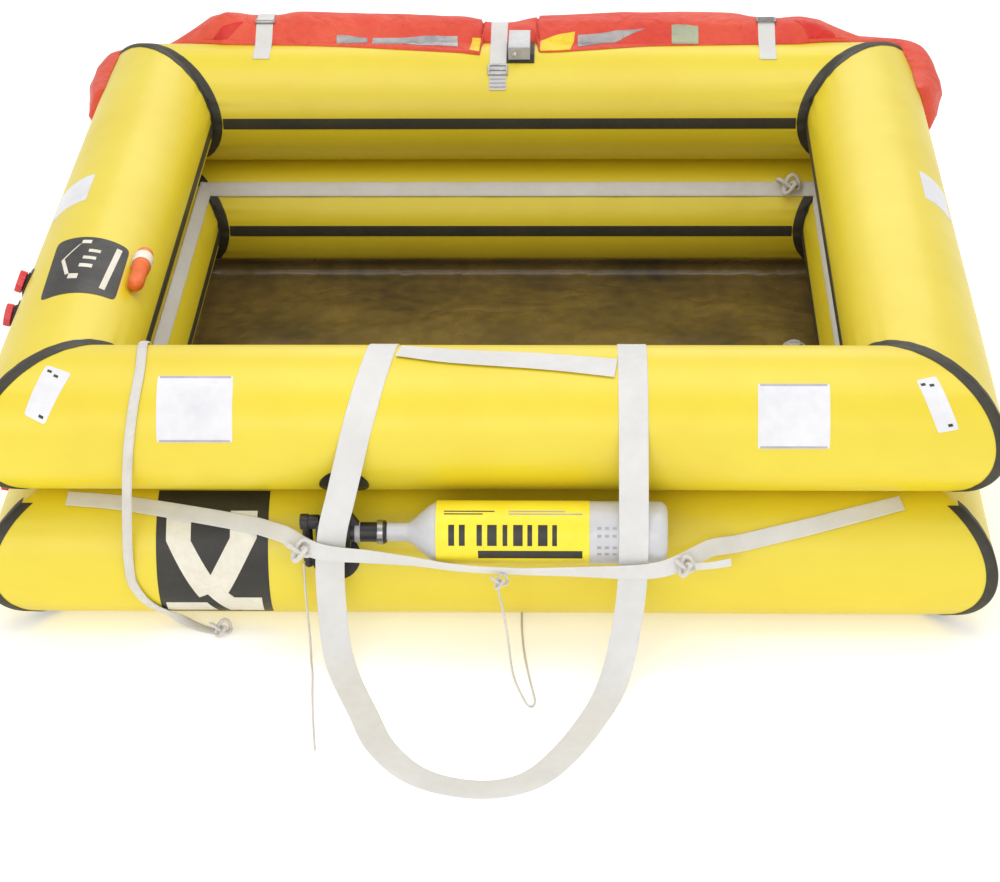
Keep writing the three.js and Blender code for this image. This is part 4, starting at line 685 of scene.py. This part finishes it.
def add_canopy():
    """The rolled canopy with the window and cloth panels that show along its front."""
    canopy = closed_strip("rolled_canopy", canopy_grid(), 75)
    finish_piece(canopy, "raft", "canopy_orange", ["stowed_canopy"])
    panels = {
        "canopy_window_left": ("window_film", [(-0.372, 85), (-0.306, 86), (-0.306, 79), (-0.372, 78)]),
        "canopy_window_middle": ("window_film", [(-0.295, 88), (-0.110, 93), (-0.112, 79), (-0.295, 79)]),
        "canopy_corner_cloth_left": ("canopy_yellow",
            [(-0.085, 100), (-0.064, 104), (-0.062, 80), (-0.080, 80)]),
        "canopy_corner_cloth_right": ("canopy_yellow",
            [(0.066, 102), (0.130, 100), (0.140, 76), (0.066, 82)]),
        "canopy_window_slant": ("window_film", [(0.146, 94), (0.205, 84), (0.290, 74), (0.146, 78)]),
        "canopy_window_right": ("window_green", [(0.347, 86), (0.404, 86), (0.404, 74), (0.347, 74)]),
        "canopy_fold_left": ("canopy_red", [(-0.665, 79), (-0.610, 80), (-0.575, 70), (-0.625, 73)]),
        "canopy_fold_right": ("canopy_red", [(0.640, 78), (0.715, 76), (0.690, 62), (0.610, 66)]),
    }
    for name, (material, corners) in panels.items():
        canopy_patch(name, corners, material)


# Webbing, rope and cords
def smooth(keys, steps):
    """Uniform Catmull-Rom curve through rows of numbers, with its ends mirrored."""
    keys = np.asarray(keys, float)
    full = np.concatenate([[2 * keys[0] - keys[1]], keys, [2 * keys[-1] - keys[-2]]])
    t = np.arange(steps * (len(keys) - 1) + 1) / steps
    i = np.minimum(t.astype(int), len(keys) - 2)
    t = (t - i)[:, None]
    p0, p1, p2, p3 = (full[i + k] for k in range(4))
    square, cube = 2 * p0 - 5 * p1 + 4 * p2 - p3, 3 * p1 - p0 - 3 * p2 + p3
    return 0.5 * (2 * p1 + (p2 - p0) * t + square * t**2 + cube * t**3)


def unit(vectors):
    return vectors / np.linalg.norm(vectors, axis=-1, keepdims=True)


def swept_grid(points, normals, section):
    """Section (across, out) carried along points whose outer side is given; nothing goes below the ground."""
    tangent = unit(np.gradient(points, axis=0))
    side = unit(np.cross(tangent, normals))
    out = np.cross(side, tangent)
    grid = points[:, None] + side[:, None] * section[None, :, :1] + out[:, None] * section[None, :, 1:]
    grid[..., 2] = np.maximum(grid[..., 2], 0.0003)
    return grid


def webbing_section(width, thickness=WEBBING_THICKNESS):
    """Flat section with slightly rounded selvedges, outer face first."""
    w, t = width / 2, thickness / 2
    across = np.array([1, 0.97, 0.9, 0.45, 0, -0.45, -0.9, -0.97, -1]) * w
    lift = np.array([0, 0.8, 1, 0.9, 0.86, 0.9, 1, 0.8, 0]) * t
    outer = np.stack([across, lift], axis=1)
    return np.concatenate([outer, outer[-2:0:-1] * [1, -1]])


def round_section(width, thickness, sides):
    turn = 2 * np.pi * np.arange(sides) / sides
    return np.stack([width / 2 * np.cos(turn), thickness / 2 * np.sin(turn)], axis=1)


def strip(name, points, normals, section, material, nodes=()):
    """Piece of webbing or rope along a route."""
    obj = closed_strip(name, swept_grid(points, unit(normals), section))
    return finish_piece(obj, "raft", material, nodes)


def on_tube(arm, height, keys, steps, lift):
    """Route on a tube from rows of (along, angle)."""
    rows = smooth(keys, steps)
    return tube_place(arm, rows[:, 0], rows[:, 1], lift, height), tube_normal(arm, rows[:, 1])


def free_route(keys, steps):
    """Route through points that each have their outer direction."""
    rows = smooth([[*point, *normal] for point, normal in keys], steps)
    return rows[:, :3], unit(rows[:, 3:])


def joined(*routes):
    """Routes end to end, then evened out: points every 6 mm along the whole length."""
    points = np.concatenate([r[0] for r in routes])
    normals = np.concatenate([r[1] for r in routes])
    far = np.concatenate([[0], np.cumsum(np.linalg.norm(np.diff(points, axis=0), axis=1))])
    keep = np.concatenate([[True], np.diff(far) > 1e-5])
    points, normals, far = points[keep], normals[keep], far[keep]
    even = np.linspace(0, far[-1], int(far[-1] / 0.006) + 2)
    points = np.stack([np.interp(even, far, points[:, k]) for k in range(3)], axis=1)
    normals = np.stack([np.interp(even, far, normals[:, k]) for k in range(3)], axis=1)
    kernel = np.array([1, 2, 3, 2, 1]) / 9
    for _ in range(2):
        padded = np.concatenate([points[:1], points[:1], points, points[-1:], points[-1:]])
        points[2:-2] = np.stack([np.convolve(padded[:, k], kernel, "valid") for k in range(3)], axis=1)[2:-2]
    return points, unit(normals)


FRONT = (0, -1, 0)
SKY = (0, 0, 1)
ON_TUBE = 0.1267
CYLINDER = (-0.8631, 0.2320)


def boarding_route():
    """Boarding strap: over the tube on the left, down, round on the ground and up again on the right."""
    head = CYLINDER[0] - 0.021 - LAYER_GAP - WEBBING_THICKNESS
    bottle = CYLINDER[0] - CYLINDER_RADIUS - LAYER_GAP - WEBBING_THICKNESS
    ground = 0.0011
    left_keys = [(-0.176, 152), (-0.178, 116), (-0.184, 82), (-0.200, 48), (-0.220, 14)]
    right_keys = [(0.251, 25), (0.250, 58), (0.249, 90), (0.248, 122), (0.248, 152)]
    left = on_tube("front", UP, left_keys, 20, ON_TUBE)
    right = on_tube("front", UP, right_keys, 20, ON_TUBE)
    free = free_route([
        ((-0.247, head + 0.012, 0.300), (0, -0.98, 0.2)), ((-0.261, head - 0.001, 0.246), FRONT),
        ((-0.268, head - 0.002, 0.175), FRONT), ((-0.267, head - 0.006, 0.090), (0, -0.97, 0.25)),
        ((-0.258, -0.9245, 0.025), (0, -0.6, 0.8)), ((-0.236, -0.9845, ground + 0.001), (0, -0.1, 1)),
        ((-0.205, -1.0705, ground), SKY), ((-0.166, -1.1745, ground), SKY), ((-0.098, -1.2585, ground), SKY),
        ((0.000, -1.2905, ground), SKY), ((0.084, -1.2625, ground), SKY), ((0.146, -1.1725, ground), SKY),
        ((0.194, -1.0605, ground + 0.0005), SKY), ((0.222, -0.9845, 0.022), (0, -0.55, 0.84)),
        ((0.241, -0.9425, 0.095), (0, -0.97, 0.25)), ((0.250, bottle - 0.002, 0.170), FRONT),
        ((0.252, bottle, CYLINDER[1] + 0.008), FRONT), ((0.252, bottle + 0.015, 0.278), (0, -0.92, 0.38)),
    ], 12)
    points, normals = joined(left, free, right)
    points[:, 2] = np.maximum(points[:, 2], ground)
    return points, normals


def front_lifeline_route():
    """Outer lifeline of the front, slung in front of the gas cylinder between the two tube stretches."""
    lift = ON_TUBE + 0.0007
    left = on_tube("front", LOW, [(-0.735, 66), (-0.641, 62), (-0.498, 51), (-0.400, 43)], 12, lift)
    right = on_tube("front", LOW, [(0.432, 30), (0.550, 43), (0.640, 54), (0.716, 64)], 12, lift)
    slung = free_route([
        ((-0.345, -0.856, 0.222), (0, -0.82, 0.57)), ((-0.300, -0.893, 0.216), (0, -0.96, 0.25)),
        ((-0.262, -0.900, 0.210), FRONT), ((-0.200, -0.902, 0.206), (0, -0.98, -0.2)),
        ((-0.120, -0.908, 0.200), (0, -0.86, -0.5)), ((-0.040, -0.916, 0.192), (0, -0.8, -0.6)),
        ((0.060, -0.917, 0.187), (0, -0.8, -0.6)), ((0.160, -0.921, 0.189), (0, -0.9, -0.43)),
        ((0.250, -0.930, 0.194), (0, -1, -0.1)), ((0.300, -0.925, 0.197), (0, -1, 0.1)),
        ((0.340, -0.902, 0.201), (0, -0.95, 0.3)), ((0.385, -0.862, 0.203), (0, -0.88, 0.47)),
    ], 8)
    return joined(left, slung, right)


def rope_route():
    """Heaving rope: from the inner lifeline, over the front of the upper ring and down to the ground."""
    lift = 0.1263 / math.cos(math.radians(5.625)) + 0.0025 + 0.0005
    start = free_route([((-0.606, -CENTRE_Y + 0.097, 0.218), (0, 0.8, 0.6)),
                        ((-0.605, -CENTRE_Y + 0.103, 0.252), (0, 1, 0)),
                        ((-0.604, -CENTRE_Y + 0.106, 0.284), (0, 0.95, -0.3))], 8)
    over = on_tube("front", UP, [(-0.603, 206), (-0.600, 176), (-0.597, 140), (-0.594, 104), (-0.588, 68),
                                 (-0.596, 34), (-0.606, 2)], 12, lift)
    falls = ((-0.612, 0.330), (-0.618, 0.250), (-0.622, 0.175))
    waist = free_route([((x, -CENTRE_Y - lift, z), FRONT) for x, z in falls], 8)
    down = on_tube("front", LOW, [(-0.621, -2), (-0.600, -24), (-0.566, -46)], 12, lift)
    end = free_route([((-0.540, -0.806, 0.014), (0, -0.75, 0.66)), ((-0.512, -0.812, 0.0038), (0, -0.3, 0.95)),
                      ((-0.478, -0.826, 0.0028), SKY)], 8)
    return joined(start, over, waist, down, end)


def thin_cord(name, points, across, nodes):
    """Soft 4 mm cord along points, as a mesh tube."""
    route, normals = joined(free_route([(point, across) for point in points], 8))
    route[:, 2] = np.maximum(route[:, 2], 0.0023)
    obj = strip(name, route, normals, round_section(CORD_DIAMETER, CORD_DIAMETER, 10), "white_rope", nodes)
    return obj, route


def add_cords():
    """Free cords, with the lengths that the photograph shows."""
    points, normals = boarding_route()
    section = webbing_section(BOARDING_WIDTH)
    strap = strip("boarding_webbing", points, normals, section, "white_webbing", ["boarding_strap"])
    points, normals = rope_route()
    section = round_section(ROPE_WIDTH, ROPE_THICKNESS, 14)
    rope = strip("heaving_line", points, normals, section, "white_rope", ["heaving_rope"])
    knot = add_knot("heaving_line_knot", points[-1] + np.array([0.006, -0.004, 0.012]), 0.0062, 0.0042, 0.9)
    top = CYLINDER[1] - SLEEVE_DROP - SEAT_GAP - KNOB_LENGTH / 2
    beside = -(KNOB_RADIUS + CORD_DIAMETER / 2 + SEAT_GAP)
    release = [(beside, 0, top), (beside, 0, top - 0.022), (beside, 0, top - 0.044),
               (beside + 0.001, -0.002, 0.090), (beside + 0.004, -0.008, 0.040),
               (beside + 0.007, -0.024, 0.010), (beside + 0.009, -0.048, 0.0028),
               (0.006, -0.090, 0.0023), (0.011, -0.150, 0.0023),
               (0.018, -0.220, 0.0023), (0.025, -0.280, 0.0023), (0.030, -0.322, 0.0023)]
    placed = [(PIN_X + x, CYLINDER[0] + y, z) for x, y, z in release]
    cord, route = thin_cord("release_line", placed, (1, 0, 0), ["release_cord"])
    tail = [(0.022, -0.922, 0.168), (0.023, -0.924, 0.145), (0.030, -0.926, 0.110), (0.036, -0.929, 0.070),
            (0.040, -0.934, 0.032), (0.044, -0.948, 0.008), (0.050, -0.975, 0.0023), (0.060, -1.010, 0.0023),
            (0.070, -1.042, 0.0023), (0.078, -1.058, 0.0023), (0.084, -1.052, 0.0023), (0.086, -1.036, 0.0023),
            (0.080, -1.000, 0.0023), (0.072, -0.950, 0.0023), (0.064, -0.890, 0.0023), (0.059, -0.830, 0.0023),
            (0.057, -0.790, 0.0023), (0.056, -0.747, 0.0023)]
    cord, route = thin_cord("painter_line", tail, (1, 0, 0.05), ["painter_tail"])


def add_knot(name, centre, size, radius, squash=0.7, turn=0.0):
    """
    Overhand knot: a round line along a trefoil, where x = sin t + 2 sin 2t, y = cos t - 2 cos 2t and
    z = -sin 3t, scaled by size and flattened in height.
    """
    t = np.linspace(0, 2 * np.pi, 90, endpoint=False)
    x, y, z = np.sin(t) + 2 * np.sin(2 * t), np.cos(t) - 2 * np.cos(2 * t), -np.sin(3 * t)
    x, z = x * np.cos(turn) - y * np.sin(turn) * 0.3, z + y * 0.35
    points = np.asarray(centre) + size * np.stack([x, y * squash * 0.6, z * 1.2], axis=1)
    points[:, 2] = np.maximum(points[:, 2], radius + 0.0005)
    tangent = unit(np.roll(points, -1, axis=0) - np.roll(points, 1, axis=0))
    side = unit(np.cross(tangent, np.array([0.13, 0.29, 0.95])))
    out = np.cross(side, tangent)
    section = round_section(2 * radius, 1.5 * radius, 10)
    grid = points[:, None] + side[:, None] * section[None, :, :1] + out[:, None] * section[None, :, 1:]
    knot = grid_object(name, grid, wrap_rows=True, wrap_columns=True, sharp=60)
    return finish_piece(knot, "raft", "white_rope")


def add_lifelines():
    """Webbing lifelines round the outside and inside, with their knots."""
    section = webbing_section(LIFELINE_WIDTH)
    points, normals = front_lifeline_route()
    strip("front_lifeline", points, normals, section, "white_webbing", ["lifeline_front"])
    for arm in ("left", "right", "back"):
        end = ARMS[arm][3] - 0.025
        keys = [(share * end, angle) for share, angle in
                ((-1, 66), (-0.72, 58), (-0.36, 42), (0, 34), (0.36, 42), (0.72, 58), (1, 66))]
        points, normals = on_tube(arm, LOW, keys, 20, ON_TUBE + 0.0006)
        strip(f"{arm}_lifeline", points, normals, section, "white_webbing", [f"lifeline_{arm}"])
    rows = []
    for arm, (_, _, _, half) in ARMS.items():
        share = np.linspace(-1, 1, 40, endpoint=False)[:, None]
        angle = np.array([130.8, 131.2, 134, 138, 142, 144.8, 145.2])
        angle = np.concatenate([angle, angle[::-1]])[None, :]
        over = [0.0008, 0.0016, 0.0015, 0.0014, 0.0015, 0.0016, 0.0008]
        lift = np.concatenate([over, np.zeros(7)])[None, :]
        along = share * (half + TUBE * np.cos(np.radians(angle)))
        wave = 0.0010 * np.sin(31 * share) * np.sin(7 * share + half) ** 2
        if arm in ("back", "left"):
            along = -along
        rows.append(tube_place(arm, along, angle, 0.1269 + lift + wave + 0.0008, LOW))
    inner = grid_object("inside_lifeline", np.concatenate(rows), wrap_rows=True, wrap_columns=True, sharp=50)
    finish_piece(inner, "raft", "white_webbing", ["lifeline_inside"])
    keys = [(-0.150, 92), (-0.060, 84), (0.100, 77), (0.221, 70)]
    points, normals = on_tube("front", UP, keys, 16, ON_TUBE + 0.0006)
    section = webbing_section(CROSS_STRAP_WIDTH)
    strip("boarding_crosspiece", points, normals, section, "white_webbing", ["boarding_cross_strap"])
    add_knot("lifeline_knot_left", (-0.318, -0.893, 0.214), 0.0075, 0.0058, 0.9)
    add_knot("lifeline_knot_right", (0.338, -0.914, 0.198), 0.0068, 0.0054, 0.9, 0.6)
    add_knot("painter_knot", (0.024, -0.925, 0.172), 0.0050, 0.0030, 0.9)
    add_knot("inside_knot", (0.600, 0.612, 0.228), 0.0085, 0.0062, 0.8, 0.3)
    tail = free_route([((0.350, -0.912, 0.194), FRONT), ((0.385, -0.900, 0.190), FRONT),
                       ((0.418, -0.888, 0.189), (0, -0.95, 0.3))], 12)
    strip("lifeline_tail", *joined(tail), webbing_section(0.014), "white_webbing")


def add_canopy_straps():
    """Webbing straps over the canopy, each on its own section, with a striped end on the middle one."""
    for name, (x, tail) in CANOPY_STRAPS.items():
        station = at_place(np.array([x]))
        top = station[0, 5]
        over = np.arange(top - 0.3, CANOPY_LOW, -1.5)
        radius = canopy_radius(station, over[None, :])[0] + 0.0012
        first = np.arange(tail, top + 3, -2.0)
        last = np.arange(CANOPY_LOW - 3, -58.5, -3.0)
        angle = np.concatenate([first, over, last])
        radius = np.concatenate([np.full(len(first), 0.1268), radius, np.full(len(last), 0.1268)])
        points = tube_place("back", np.full_like(angle, x), angle, radius, UP)
        points, normals = joined((points, tube_normal("back", angle)))
        strip(f"canopy_webbing_{name}", points, normals, webbing_section(CANOPY_STRAP_WIDTH), "white_webbing",
              [f"canopy_strap_{name}"])
    for k, angle in enumerate((136, 140, 144)):
        corners = oblong(-0.040, -0.006, angle - 0.9, angle + 0.9)
        surface_patch(f"tail_stripe_{k}", "back", UP, corners, "patch_hem", base=0.1285, lift=0.0004)


# Patches, panel and sign
def oblong(low, high, bottom, top):
    """Corners of a rectangle between two places along a tube and two angles round it."""
    return [(low, bottom), (high, bottom), (high, top), (low, top)]


def surface_patch(name, arm, height, corners, material, base=None, lift=0.0006, round_off=0.0):
    """
    Thin patch bonded to a tube. Its corners are (along, angle) pairs in order; points between them are
    blended and laid on the skin, and the four corners may be rounded by pulling them in.
    """
    a, b, c, d = (np.array(p, float) for p in corners)
    s, t = np.linspace(0, 1, 25), np.linspace(0, 1, 25)
    s, t = (g[..., None] for g in np.meshgrid(s, t, indexing="ij"))
    if round_off:
        u, v = 2 * s - 1, 2 * t - 1
        power = 2 / round_off
        pull = (np.abs(u) ** power + np.abs(v) ** power + 1e-9) ** (-1 / power)
        pull = np.minimum(pull * np.maximum(np.abs(u), np.abs(v)), 1)
        s, t = 0.5 + 0.5 * u * pull, 0.5 + 0.5 * v * pull
    flat = (1 - s) * (1 - t) * a + s * (1 - t) * b + s * t * c + (1 - s) * t * d
    along, angle = flat[..., 0], flat[..., 1]
    skin = tube_skin(arm, along, angle) if base is None else np.full_like(along, base)
    over = tube_place(arm, along, angle, skin + lift, height)
    under = tube_place(arm, along, angle, skin + 0.00005, height)
    patch = closed_strip(name, np.concatenate([over, under[:, ::-1]], axis=1))
    return finish_piece(patch, "raft", material)


def add_patches():
    """Reflective patches of the front and sides, the black panel and the sign, all bonded to the tubes."""
    for name, low, high, top, bottom in (("left", -0.557, -0.428, 62, 8), ("right", 0.460, 0.581, 56, 4)):
        corners = oblong(low, high, bottom, top)
        surface_patch(f"reflector_{name}", "front", UP, corners, "patch_white", round_off=0.05)
        for edge, angle in (("top", top - 1.2), ("bottom", bottom + 1.2)):
            corners = oblong(low + 0.004, high - 0.004, angle - 0.9, angle + 0.9)
            surface_patch(f"reflector_{name}_{edge}_line", "front", UP, corners, "patch_hem", lift=0.0009)
    tilted = {"left": [(-0.782, 30), (-0.747, 22), (-0.705, 64), (-0.750, 73)],
              "right": [(0.762, 17), (0.797, 20), (0.760, 63), (0.726, 59)]}
    for name, corners in tilted.items():
        surface_patch(f"corner_reflector_{name}", "front", UP, corners, "patch_white", round_off=0.12)
        centre = np.mean(corners, axis=0)
        for k, share in enumerate(((-0.55, 0.78), (0.35, -0.82), (0.2, 0.7))):
            a, b, _, d = (np.array(p, float) for p in corners)
            across, up = (b - a) / 2, (d - a) / 2
            spot = centre + across * share[0] + up * share[1]
            mark = [spot + across * sx * 0.22 + up * sy * 0.05 for sx, sy in oblong(-1, 1, -1, 1)]
            surface_patch(f"corner_mark_{name}_{k}", "front", UP, mark, "sign_black", lift=0.0009)
    surface_patch("side_reflector_left", "left", UP, oblong(-0.070, 0.055, 34, 74), "patch_white",
                  round_off=0.08)
    surface_patch("side_reflector_right", "right", UP, oblong(-0.040, 0.090, 28, 62), "patch_white",
                  round_off=0.08)
    surface_patch("emblem_panel", "front", LOW, oblong(-0.575, -0.380, -48, 75), "sign_black")
    add_emblem()
    surface_patch("instruction_sign", "left", UP, [(-0.500, 66), (-0.246, 62), (-0.252, 127), (-0.464, 128)],
                  "sign_black", round_off=0.14)
    bars = [((-0.446, 112), (-0.446, 117), (-0.272, 121), (-0.272, 116)),
            ((-0.276, 86), (-0.262, 86), (-0.262, 94), (-0.276, 94)),
            ((-0.425, 84), (-0.405, 84), (-0.405, 92), (-0.425, 92)),
            ((-0.282, 84), (-0.276, 86), (-0.338, 75.5), (-0.342, 73)),
            ((-0.342, 73), (-0.336, 75.5), (-0.404, 84), (-0.408, 81)),
            ((-0.312, 94), (-0.300, 94), (-0.300, 104), (-0.312, 104)),
            ((-0.342, 91), (-0.330, 91), (-0.330, 102), (-0.342, 102)),
            ((-0.376, 90), (-0.362, 90), (-0.362, 101), (-0.376, 101))]
    for k, corners in enumerate(bars):
        surface_patch(f"sign_bar_{k}", "left", UP, list(corners), "sign_white", lift=0.0009)


def add_emblem():
    """Plain white figure on the black panel: a broad cross between four blocks."""
    def place(u, v):
        return (-0.575 + 0.195 * u, 75 - 123 * v)
    shapes = {
        "block_upper_left": [(0.09, 0.16), (0.31, 0.16), (0.31, 0.36), (0.09, 0.36)],
        "block_upper_right": [(0.66, 0.16), (0.90, 0.16), (0.90, 0.34), (0.66, 0.34)],
        "leg_left": [(0.09, 0.36), (0.31, 0.36), (0.56, 0.70), (0.36, 0.78)],
        "leg_right": [(0.66, 0.34), (0.90, 0.34), (0.58, 0.80), (0.40, 0.70)],
        "foot_left": [(0.05, 0.84), (0.42, 0.84), (0.50, 0.96), (0.05, 0.96)],
        "foot_right": [(0.66, 0.78), (0.92, 0.78), (0.92, 0.96), (0.72, 0.96)],
        "stroke": [(0.40, 0.70), (0.56, 0.68), (0.86, 0.94), (0.62, 0.96)],
    }
    for k, (name, corners) in enumerate(shapes.items()):
        surface_patch(f"emblem_{name}", "front", LOW, [place(*p) for p in corners], "sign_white",
                      lift=0.0008 + 0.0001 * k)


# Gas cylinder and hardware
def lathe_x(name, profile, segments, sharp=35):
    """Turned piece about the gas cylinder's axis from rows of (x, radius); the ends close on the axis."""
    profile = np.asarray(profile, float)
    turn = np.linspace(0, 2 * np.pi, segments, endpoint=False)
    x = profile[:, :1] + 0 * turn
    y = CYLINDER[0] + profile[:, 1:] * np.cos(turn)
    z = CYLINDER[1] + profile[:, 1:] * np.sin(turn)
    return closed_strip(name, np.stack([x, y, z], axis=-1), sharp)


def wrapped(name, low, high, start, stop, lift, material, nodes=()):
    """Printed film round the gas cylinder between two places along it and two angles from its front."""
    s, t = np.linspace(low, high, 30)[:, None], np.linspace(start, stop, 60)
    turn = np.radians(np.concatenate([t, t[::-1]]))[None, :]
    radius = CYLINDER_RADIUS + np.concatenate([np.full(60, lift), np.full(60, 0.0001)])[None, :]
    y, z = CYLINDER[0] - radius * np.cos(turn), CYLINDER[1] + radius * np.sin(turn)
    film = closed_strip(name, np.stack(np.broadcast_arrays(s, y, z), axis=-1))
    return finish_piece(film, "raft", material, nodes)


def add_cylinder():
    """Gas cylinder, its label and the generic marks printed on them."""
    turn = np.linspace(0, np.pi / 2, 14)
    shoulder = smooth([[-0.134, 0.0162], [-0.124, 0.0225], [-0.106, 0.0385], [-0.090, 0.0500],
                       [-0.074, CYLINDER_RADIUS]], 5)
    base = np.stack([0.294 + 0.016 * np.sin(turn), 0.054 - 0.016 * (1 - np.cos(turn))], axis=1)
    neck = [[-0.170, 0.002], [-0.170, 0.0150], [-0.1685, 0.016], [-0.140, 0.016]]
    wall = np.stack([np.linspace(-0.068, 0.28, 12), np.full(12, CYLINDER_RADIUS)], axis=1)
    foot = [[0.3098, 0.030], [0.3070, 0.024], [0.3070, 0.002]]
    profile = np.concatenate([neck, shoulder, wall, base, foot])
    bottle = lathe_x("gas_bottle", profile, 96, sharp=30)
    finish_piece(bottle, "raft", "grey_paint", ["gas_cylinder"])
    wrapped("bottle_label", -0.084, 0.177, -70, 140, 0.0008, "label_yellow", ["cylinder_label"])
    blocks = ((-0.062, -0.052), (-0.044, -0.034), (-0.014, -0.005), (0.004, 0.020), (0.030, 0.038),
              (0.048, 0.064), (0.072, 0.080), (0.090, 0.106), (0.114, 0.122))
    for k, (low, high) in enumerate(blocks):
        wrapped(f"label_block_{k}", low, high, 6, 44, 0.0011, "label_print")
    wrapped("label_strip", -0.012, 0.165, -22, -4, 0.0011, "label_print")
    for k, angle in enumerate((64, 70)):
        wrapped(f"label_line_{k}", -0.070, -0.004 + 0.02 * k, angle, angle + 2.4, 0.0011, "label_print")
        wrapped(f"label_rule_{k}", 0.040, 0.165 - 0.03 * k, angle, angle + 2.4, 0.0011, "label_grey")
    for row, angle in enumerate((36, 22, 0, -14)):
        for k in range(4):
            start = 0.190 + 0.013 * k
            wrapped(f"stamp_{row}_{k}", start, start + 0.007, angle, angle + 5, 0.0005, "label_grey")


def refined(node, material, bevel=0.0008, segments=2):
    """Copy of a CAD node: corners merged, flats joined, edges rounded and rounds smooth."""
    mesh = frame["nodes"][node].data.copy()
    mesh.name = f"{node}_part"
    work = bmesh.new()
    work.from_mesh(mesh)
    bmesh.ops.remove_doubles(work, verts=work.verts, dist=2e-6)
    bmesh.ops.dissolve_limit(work, angle_limit=math.radians(1.0), verts=work.verts, edges=work.edges)
    work.to_mesh(mesh)
    work.free()
    mesh.polygons.foreach_set("use_smooth", np.ones(len(mesh.polygons), bool))
    mesh.set_sharp_from_angle(angle=math.radians(32))
    obj = bpy.data.objects.new(mesh.name, mesh)
    bpy.context.scene.collection.objects.link(obj)
    if bevel:
        edge = obj.modifiers.new("edge", "BEVEL")
        edge.width = bevel
        edge.segments = segments
        edge.limit_method = "ANGLE"
        edge.angle_limit = math.radians(32)
        edge.harden_normals = True
    return finish_piece(obj, frame["nodes"][node]["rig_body"], material, [node])


def add_hardware():
    """Moulded and metal parts, each from its own node."""
    for node in ("firing_head", "pull_pin", "inlet_valve_upper", "inlet_valve_lower", "valve_body_upper_back",
                 "valve_body_upper_front", "valve_body_lower", "light_backing"):
        refined(node, "black_moulding")
    for node in ("inlet_hose_upper", "inlet_hose_lower"):
        refined(node, "black_moulding", bevel=0)
    for node in ("valve_cap_upper_back", "valve_cap_upper_front", "valve_cap_lower"):
        refined(node, "red_moulding")
    for node in ("floor_drain", "floor_drain_cap"):
        refined(node, "white_moulding", bevel=0.0005)
    refined("light_box", "white_moulding", bevel=0.0015, segments=3)
    refined("light_bulb", "clear_lens", bevel=0)
    for name in CANOPY_STRAPS:
        refined(f"strap_buckle_{name}", "buckle_steel", bevel=0.0007)
    refined("locator_lamp", "lamp_orange", bevel=0)
    refined("lamp_band", "lamp_white", bevel=0.0004)
    for name, low, high, radius in (("collar", -0.186, -0.1755, 0.0212), ("ring", -0.2245, -0.2150, 0.0182)):
        band = lathe_x(f"head_{name}", [(low, 0.0172), (low, radius - 0.0008), (low + 0.0008, radius),
                                        (high - 0.0008, radius), (high, radius - 0.0008), (high, 0.0172)], 48)
        finish_piece(band, "raft", "grey_moulding" if name == "ring" else "buckle_steel")


# Surroundings
def area_light(name, place, aim, size, power):
    data = bpy.data.lights.new(name, "AREA")
    data.shape = "RECTANGLE"
    data.size, data.size_y = size
    data.energy = power
    light = bpy.data.objects.new(name, data)
    light.location = place
    light.rotation_euler = (Vector(aim) - Vector(place)).to_track_quat("-Z", "Y").to_euler()
    bpy.context.scene.collection.objects.link(light)


def add_surroundings():
    """Pale floor, even white surroundings and three broad soft lights."""
    mesh = bpy.data.meshes.new("studio_floor")
    corners = [(*corner, -0.0005) for corner in ((-45, -45), (45, -45), (45, 45), (-45, 45))]
    mesh.from_pydata(corners, [], [(0, 1, 2, 3)])
    floor = bpy.data.objects.new("studio_floor", mesh)
    bpy.context.scene.collection.objects.link(floor)
    finish("studio_white", (0.93, 0.93, 0.93, 1), (0.90, 0.90, 0.90, 1), 0.9, 1.5, specular=0.1)
    shader = MATERIALS["studio_white"].node_tree.nodes["Principled BSDF"]
    shader.inputs["Emission Color"].default_value = (1, 1, 1, 1)
    shader.inputs["Emission Strength"].default_value = 0.30
    mesh.materials.append(MATERIALS["studio_white"])
    bpy.context.scene.view_settings.view_transform = "Standard"
    world = bpy.data.worlds.new("studio")
    bpy.context.scene.world = world
    world.use_nodes = True
    world.node_tree.nodes["Background"].inputs["Color"].default_value = (1, 1, 1, 1)
    world.node_tree.nodes["Background"].inputs["Strength"].default_value = 0.78
    area_light("overhead", (0.0, -0.6, 3.4), (0, 0.1, 0.2), (3.6, 2.4), 46)
    area_light("front_fill", (-0.6, -4.6, 1.7), (0, 0, 0.25), (3.2, 1.6), 36)
    area_light("back_rim", (0.4, 3.2, 2.4), (0, 0.2, 0.3), (3.0, 1.4), 20)


add_camera()
make_finishes()
add_cords()
add_hull()
add_canopy()
add_canopy_straps()
add_lifelines()
add_patches()
add_cylinder()
add_hardware()
add_surroundings()
